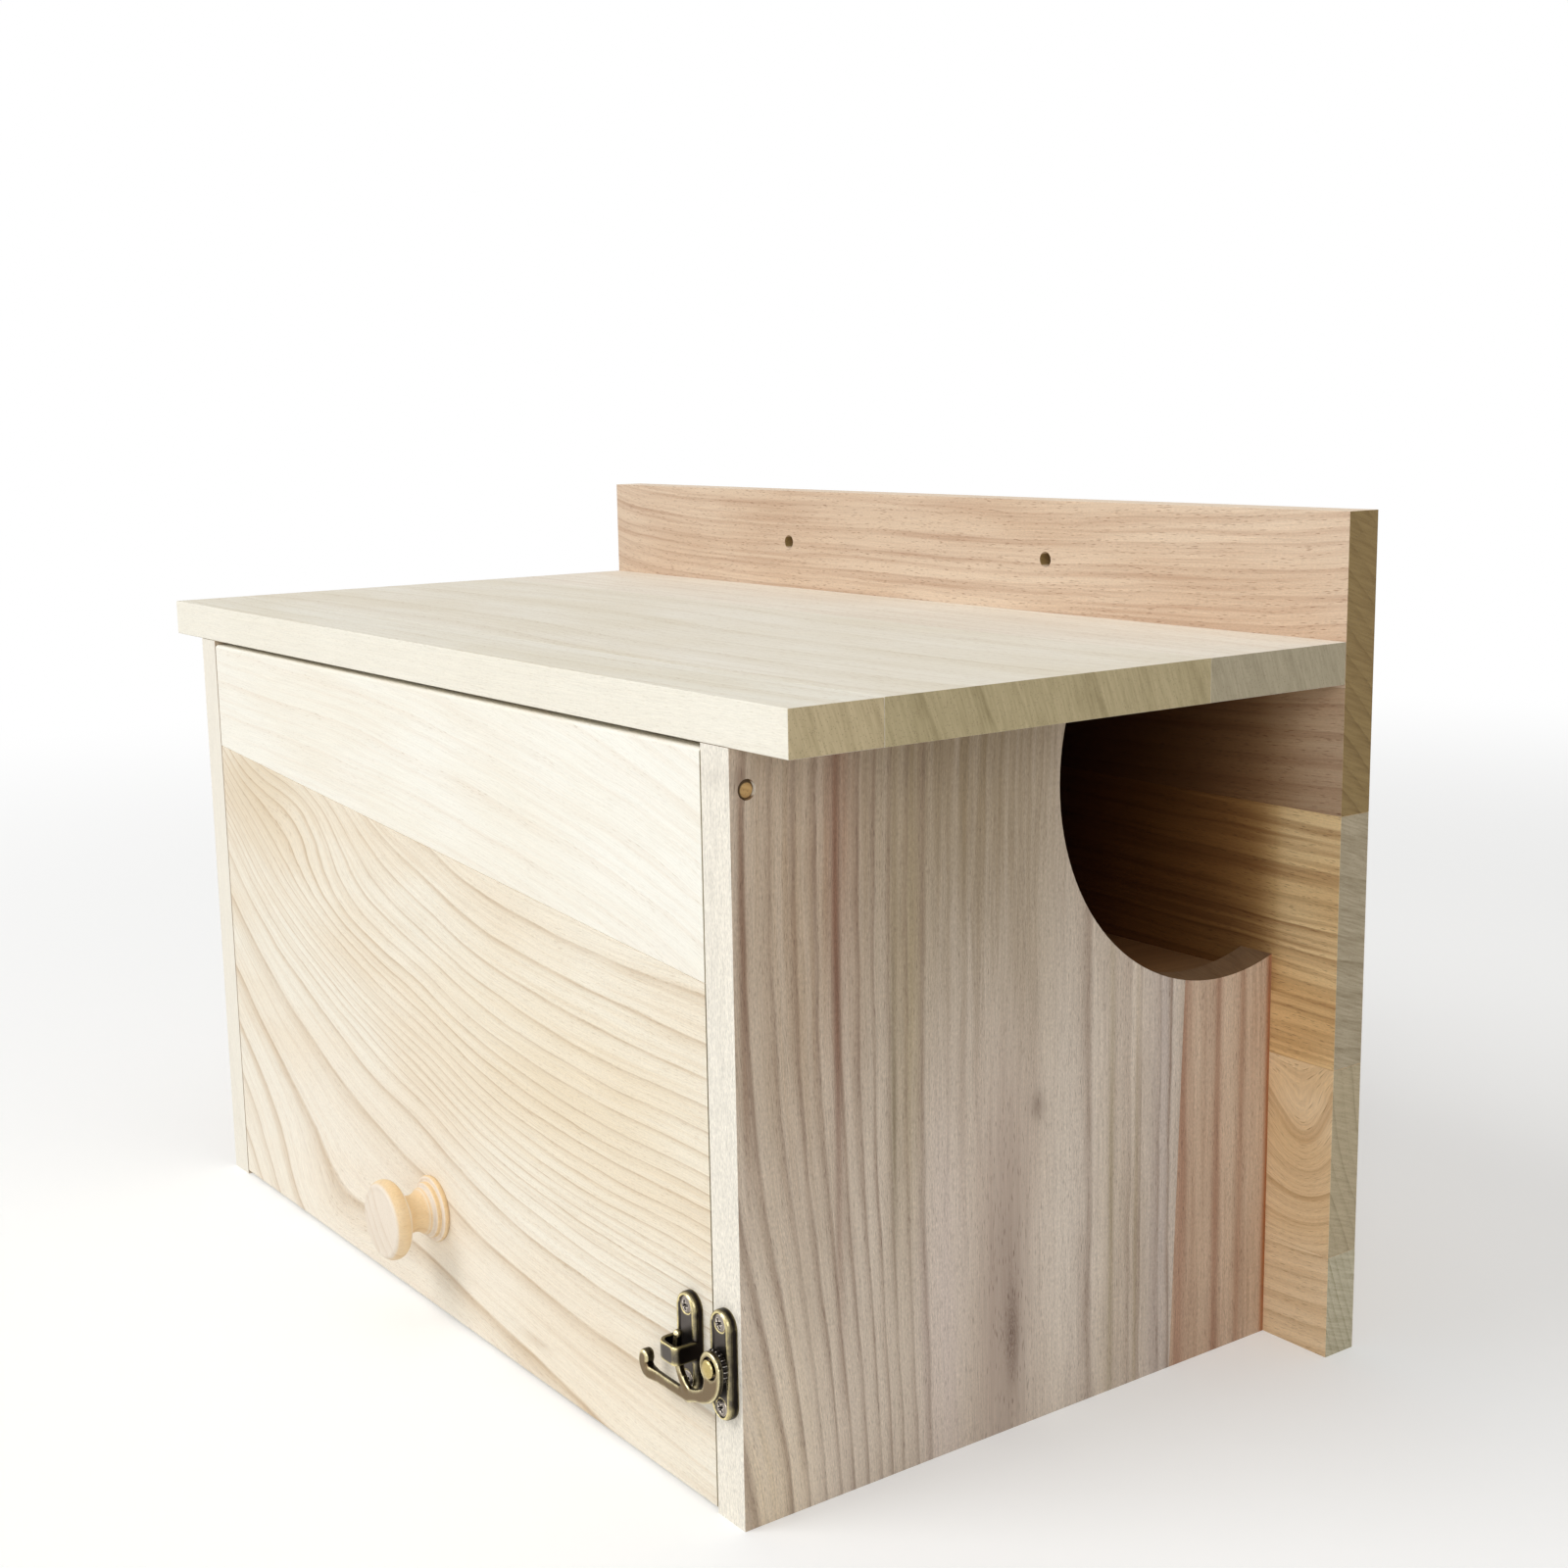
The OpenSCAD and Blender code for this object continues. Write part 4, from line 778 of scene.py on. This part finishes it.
def makeHook(s):
    # From the middle level each side swells by half * (1 - (1 - d/round)^n)^(1/n) at a distance d inside
    # the outline, and by nothing outside it; points just outside are drawn back on to the outline
    u, v = np.meshgrid(*(np.linspace(a, b, round((b - a) / s["step"]) + 1)
                         for a, b in zip(s["from"], s["to"])), indexing="ij")
    spots = np.stack([u, v], axis=-1)
    radius = np.hypot(u, v)
    far = np.maximum(hookOutline(spots, s), s["hole"] - radius)
    slope = np.stack(np.gradient(far, s["step"]), axis=-1)
    slope /= np.maximum(np.linalg.norm(slope, axis=-1), 1e-6)[..., None]
    near = (far > 0) & (far < 3 * s["step"])
    spots = np.where(near[..., None], spots - far[..., None] * slope, spots)

    def swell(inside, reach, square):
        return (1 - (1 - np.clip(inside / reach, 0, 1)) ** square) ** (1 / square)

    prongLeft, prongFoot = s["prongAt"]
    onProng = (np.clip((v - prongFoot) / s["proudFade"], 0, 1) * (u < prongLeft)) * s["prongProud"]
    onCurl = np.clip((s["curlAt"] - u) / s["proudFade"], 0, 1) * s["curlProud"]
    half = s["half"] + onProng + onCurl
    ring = np.where(radius > s["bore"], np.minimum(-far, radius - s["bore"]), -far)
    front = s["middle"] + half * swell(ring, s["round"], s["square"])
    front = np.where((radius < s["bore"]) & (far < 0), s["middle"] + s["floor"], front)
    back = s["middle"] - half * swell(-far, s["backRound"], s["backSquare"])
    rows, cols = far.shape
    inside = far < 0
    i, j = np.nonzero(inside[:-1, :-1] | inside[1:, :-1] | inside[:-1, 1:] | inside[1:, 1:])
    corner = i * cols + j
    corners = np.stack([corner, corner + cols, corner + cols + 1, corner + 1], axis=-1)
    used, numbers = np.unique(corners, return_inverse=True)
    quads = numbers.reshape(-1, 4)
    sheets = [np.concatenate([spots.reshape(-1, 2)[used], level.ravel()[used, None]], axis=-1)
              for level in (front, back)]
    faces = quads.tolist() + (quads[:, ::-1] + len(used)).tolist()
    mesh = meshOf("hook", np.concatenate(sheets), faces, outwards=False)
    tip = arc((0, 0), s["prongArc"], s["prongTop"], s["prongTop"], 1)[0]
    ball = turned(arc((0, 0), s["ball"], -90, 90, 20), 32) + np.array([*tip, s["middle"]])
    ball = gridMesh("ball", ball, wrapRows=True)
    castPiece("latchHook", "latch_hook", [placed(mesh), placed(ball)], hookMetal)


washerMetal = metalMaterial("washerMetal", {
    "tones": ((18, 15, 14), (58, 53, 50), (206, 200, 190)), "rough": 0.36, "wearAndShading": (0.58, 0.82),
    "wall": 0.7, "wallAt": 0.3, "wallWear": 1.0})
rivetMetal = metalMaterial("rivetMetal", {
    "tones": ((96, 76, 36), (176, 152, 84), (238, 224, 172)), "rough": 0.32, "wearAndShading": (0.4, 0.8),
    "wall": 0.4, "wallWear": 0.6})
screwMetal = metalMaterial("screwMetal", {
    "tones": ((16, 13, 12), (150, 141, 134), (232, 222, 210)), "wallWear": 0.55})
zincSteel = metalMaterial("zincSteel", {
    "tones": ((120, 120, 122), (176, 176, 178), (205, 205, 206)), "rough": 0.4, "wearAndShading": (0.5, 0.9),
    "wall": 1.0, "wallWear": 1.0})

# Washer with fluted edge, domed rivet head and cross-head screws; heights are above the front face
washerForm = {"profile": [(1.7, 2.6), (3.7, 2.6), (3.85, 2.9), (4.3, 2.95), (4.6, 3.2), (4.6, 4.07),
                          (4.45, 4.3), (4.2, 4.42), (1.7, 4.42)], "flutes": 18, "steps": 216,
              "depth": 0.17, "cast": {"voxel": 0.09, "soften": 2, "reach": 10, "gain": 4.0}}
rivetForm = {"under": [(0, 4.4), (1.6, 4.4), (1.6, 5.95), (2.4, 6.0)], "dome": (2.4, 0.86),
             "domeAt": (0, 6.3), "domeSteps": 14, "steps": 64, "worn": {"reach": 4, "gain": 3.0}}
screwForm = {"under": [(0, 1.4), (1.1, 1.4), (2.15, 1.95), (2.3, 2.2)], "steps": 64,
             "crown": ((0, -2.1), 4.98, 62.5, 90, 12),
             "arm": 1.75, "slot": 0.5, "cross": [(0.45, 1.9), (1.25, 3.45)],
             "cast": {"voxel": 0.08, "soften": 2, "reach": 30, "gain": 4.0}}


def makeWasher(s):
    points = turned(np.array(s["profile"]), s["steps"], s["flutes"], s["depth"])
    shell = gridMesh("washer", points, wrapRows=True, wrapCols=True)
    castPiece("latchWasher", "latch_washer", [placed(shell)], washerMetal, **s["cast"])


def makeRivet(s):
    # The head is a quarter of an ellipse
    dome = arc((0, 0), 1, 0, 90, s["domeSteps"]) * s["dome"] + s["domeAt"]
    profile = np.concatenate([s["under"], dome])
    mesh = placed(gridMesh("latchRivet", turned(profile, s["steps"]), wrapRows=True))
    wearAndShadingFromShape(mesh, **s["worn"])
    register(linked("latchRivet", mesh), rivetMetal, "latch_rivet")


def screwHead(up, turn, s):
    # Raised countersunk head with a cross, pressed in by a star of two sizes, each with its height
    profile = np.concatenate([s["under"], arc(*s["crown"])])
    profile[-1, 0] = 0
    head = gridMesh("screwHead", turned(profile, s["steps"]), wrapRows=True)
    a, b = s["arm"], s["slot"]
    star = np.array([(a, -b), (a, b), (b, b), (b, a), (-b, a), (-b, b),
                     (-a, b), (-a, -b), (-b, -b), (-b, -a), (b, -a), (b, -b)])
    layers = [np.insert(star * size, 2, level, axis=1) for size, level in s["cross"]]
    head = cutBy("screwHead", head, gridMesh("star", np.array(layers), wrapCols=True, capEnds=True))
    head.transform(Matrix.Translation((0, up * mm, 0)) @ Matrix.Rotation(math.radians(turn), 4, "Z"))
    return head


def makeScrews(name, node, plate, turns, s):
    foot, top, middle = plateSpan(plate)
    ups = (top - plateForm["screwInset"], foot + plateForm["screwInset"])
    heads = [placed(screwHead(up, turn, s), middle) for up, turn in zip(ups, turns)]
    castPiece(name, node, heads, screwMetal, **s["cast"])


makeHookPlate(plateForm)
makeCatchPlate(plateForm, loopForm)
makeHook(hookForm)
makeWasher(washerForm)
makeRivet(rivetForm)
makeScrews("latchScrews", "latch_screws", "latch_plate", (24, 38), screwForm)
makeScrews("catchScrews", "catch_screws", "catch_plate", (12, 30), screwForm)
print("latch done")

# Knob turned from one rod: foot with two beads, hollow neck and cushioned head; each run of its profile
# is a list of points, or the middle, radius, start, end and steps of an arc
knobForm = {"steps": 160, "runs": {
    "foot": [(0, 0), (10.2, 0)], "lowBead": ((9.6, 1.0), 0.9, -60, 110, 14), "groove": [(8.75, 1.75)],
    "highBead": ((8.0, 2.75), 0.75, -35, 120, 12), "neck": ((10.25, 8.1), 4.5, 228, 132, 36),
    "brink": [(8.7, 12.55)], "rim": ((9.3, 15.8), 3.2, -88, 62, 30),
    "dome": ((0, -56.05), 75.05, 82.4, 90, 14)}}


def makeKnob(s):
    low, high = nodeBox("door_knob")
    middleX, middleZ = (low[0] + high[0]) / 2, (low[2] + high[2]) / 2
    profile = np.concatenate([run if isinstance(run, list) else arc(*run) for run in s["runs"].values()])
    profile[-1, 0] = 0
    mesh = placed(gridMesh("doorKnob", turned(profile, s["steps"]), wrapRows=True), middleX, middleZ)
    register(linked("doorKnob", mesh), knobGrain, "door_knob")


knobGrain = woodMaterial("knobGrain", {
    "grain": "yxz", "rings": [(-30, 0), (30, 10)], "sweep": [(-240, 0), (-200, 0)], "lean": 0.8,
    "tones": ((240, 220, 188), (236, 206, 160), (206, 164, 110)), "pore": (200, 160, 112), "wander": 1.0,
    "end": ((241, 229, 213), (220, 200, 176)), "seed": 17.4, "contrast": 0.6, "sawMarks": 0.2,
    "endPores": 0.1})
makeKnob(knobForm)
print("knob done")

# Hinge dowels: rods with a softly rounded, slightly sunken end, painted shaded at its rim
dowelLooks = {
    "rings": [(-300, 0), (300, 400)], "tones": ((214, 182, 130), (200, 164, 108), (160, 122, 76)),
    "end": ((204, 168, 112), (166, 126, 76)), "seed": 16.1}
dowelGrain = woodMaterial("dowelGrain", dowelLooks)
dowelForm = {"round": 0.45, "roundSteps": 8, "steps": 64, "litAside": (-0.3, 0.4), "lit": 1.6}


def makeHingeDowels(s):
    # Rods along X, their profile carried round the hinge line
    low, high = nodeBox("right_hinge_dowel")
    middle = (low + high) / 2
    hingeGrain = woodMaterial("hingeGrain", {**dowelLooks, "endRim": (
        middle[2] + s["litAside"][0], middle[1] + s["litAside"][1], s["lit"])})
    for node in ("left_hinge_dowel", "right_hinge_dowel"):
        low, high = nodeBox(node)
        radius, length, edge = (high[2] - low[2]) / 2, high[0] - low[0], s["round"]
        profile = np.concatenate([[(0, 0)], arc((radius - edge, edge), edge, -90, 0, s["roundSteps"]),
                                  arc((radius - edge, length - edge), edge, 0, 90, s["roundSteps"]),
                                  [(0, length)]])
        rod = turned(profile, s["steps"])
        points = rod[..., [2, 0, 1]] + [low[0], (low[1] + high[1]) / 2, (low[2] + high[2]) / 2]
        register(linked(node + "_wood", gridMesh(node + "_wood", points, wrapRows=True)), hingeGrain, node)


makeHingeDowels(dowelForm)
for material, nodes in ((dowelGrain, ("roof_dowels", "floor_dowels", "ledge_dowels")),
                        (zincSteel, ("knob_screw", "back_screws"))):
    for node in nodes:
        paint(frame["nodes"][node], material)
print("dowels done")

# Studio: pale floor, soft lamps, white behind; lengths in metres
studio = {"floorSize": 12.0, "floorColour": (0.8, 0.8, 0.79, 1.0), "floorLift": 0.22,
          "fadeFrom": 0.45, "fadeTo": 1.4, "worldLight": 0.42, "aim": (0, -0.1, 0.1), "lamps": [
              {"name": "keyLamp", "place": (-0.9, -2.6, 2.6), "size": 1.8, "power": 57},
              {"name": "sideLamp", "place": (2.3, -1.9, 1.5), "size": 1.4, "power": 24},
              {"name": "topLamp", "place": (0.3, -0.2, 3.0), "size": 2.2, "power": 9}]}
white = (1.0, 1.0, 1.0, 1.0)


def directShare(g):
    # 1 for rays that come from the camera, a mirror or glass
    path = g.add("ShaderNodeLightPath")
    seen = g.calc("MAXIMUM", path.outputs["Is Camera Ray"], path.outputs["Is Glossy Ray"])
    return g.calc("MAXIMUM", seen, path.outputs["Is Transmission Ray"])


def axisMatrix(right, up, back, place):
    # World matrix of a camera or lamp from its three axes and its place
    return Matrix([*zip(right, up, back, place), (0, 0, 0, 1)])


def makeFloor(s):
    g = nodeSketch("paleFloor")
    seen = directShare(g)
    g.fill(g.shader, {"Base Color": s["floorColour"], "Roughness": 0.9, "Specular IOR Level": 0.1,
                      "Emission Color": white, "Emission Strength": g.times(seen, s["floorLift"])})
    # Far from the box the floor melts into the white behind it
    place = g.place()[0]
    far = g.calc("SQRT", g.squares(place[0], place[1]))
    fade = g.times(g.span(far, s["fadeFrom"] / mm, s["fadeTo"] / mm, soft=True), seen)
    glow = g.add("ShaderNodeEmission").outputs[0]
    both = g.plugAll(g.add("ShaderNodeMixShader"), (fade, g.shader.outputs[0], glow))
    g.plug(g.tree.nodes["Material Output"].inputs["Surface"], both)
    half = s["floorSize"] / 2
    mesh = bpy.data.meshes.new("floor")
    corners = [(-half, -half, 0), (half, -half, 0), (half, half, 0), (-half, half, 0)]
    mesh.from_pydata(corners, [], [(0, 1, 2, 3)])
    floor = linked("floor", mesh)
    paint(floor, g.material)


def makeLight(s):
    world = bpy.data.worlds.new("whiteRoom")
    bpy.context.scene.world = world
    sky = nodeSketch("whiteRoom", world)
    strength = sky.span(directShare(sky), 0.0, 1.0, s["worldLight"], 1.0)
    sky.fill(sky.shader, {"Color": white, "Strength": strength})
    for lamp in s["lamps"]:
        light = given(bpy.data.lights.new(lamp["name"], "AREA"), shape="SQUARE", size=lamp["size"],
                      energy=lamp["power"])
        away = np.array(lamp["place"]) - np.array(s["aim"])
        away /= np.linalg.norm(away)
        side = np.cross((0, 0, 1.0), away)
        side /= np.linalg.norm(side)
        holder = linked(lamp["name"], light)
        holder.matrix_world = axisMatrix(side, np.cross(away, side), away, lamp["place"])


# Camera solved from the box's corners in the photograph, in millimetres
cameraView = {"place": (574.94, -481.83, 278.98), "right": (0.58774, 0.80887, -0.01694),
              "down": (0.13208, -0.11659, -0.98436), "ahead": (-0.79819, 0.57631, -0.17536), "lens": 48.66}


def makeCamera(s):
    data = given(bpy.data.cameras.new("photoCamera"), lens=s["lens"], sensor_width=36, clip_start=0.01)
    holder = linked("photoCamera", data)
    up, back = [-c for c in s["down"]], [-c for c in s["ahead"]]
    holder.matrix_world = axisMatrix(s["right"], up, back, [c * mm for c in s["place"]])
    bpy.context.scene.camera = holder


makeFloor(studio)
makeLight(studio)
makeCamera(cameraView)
bpy.context.scene.view_settings.view_transform = "Standard"
print("studio and camera done")
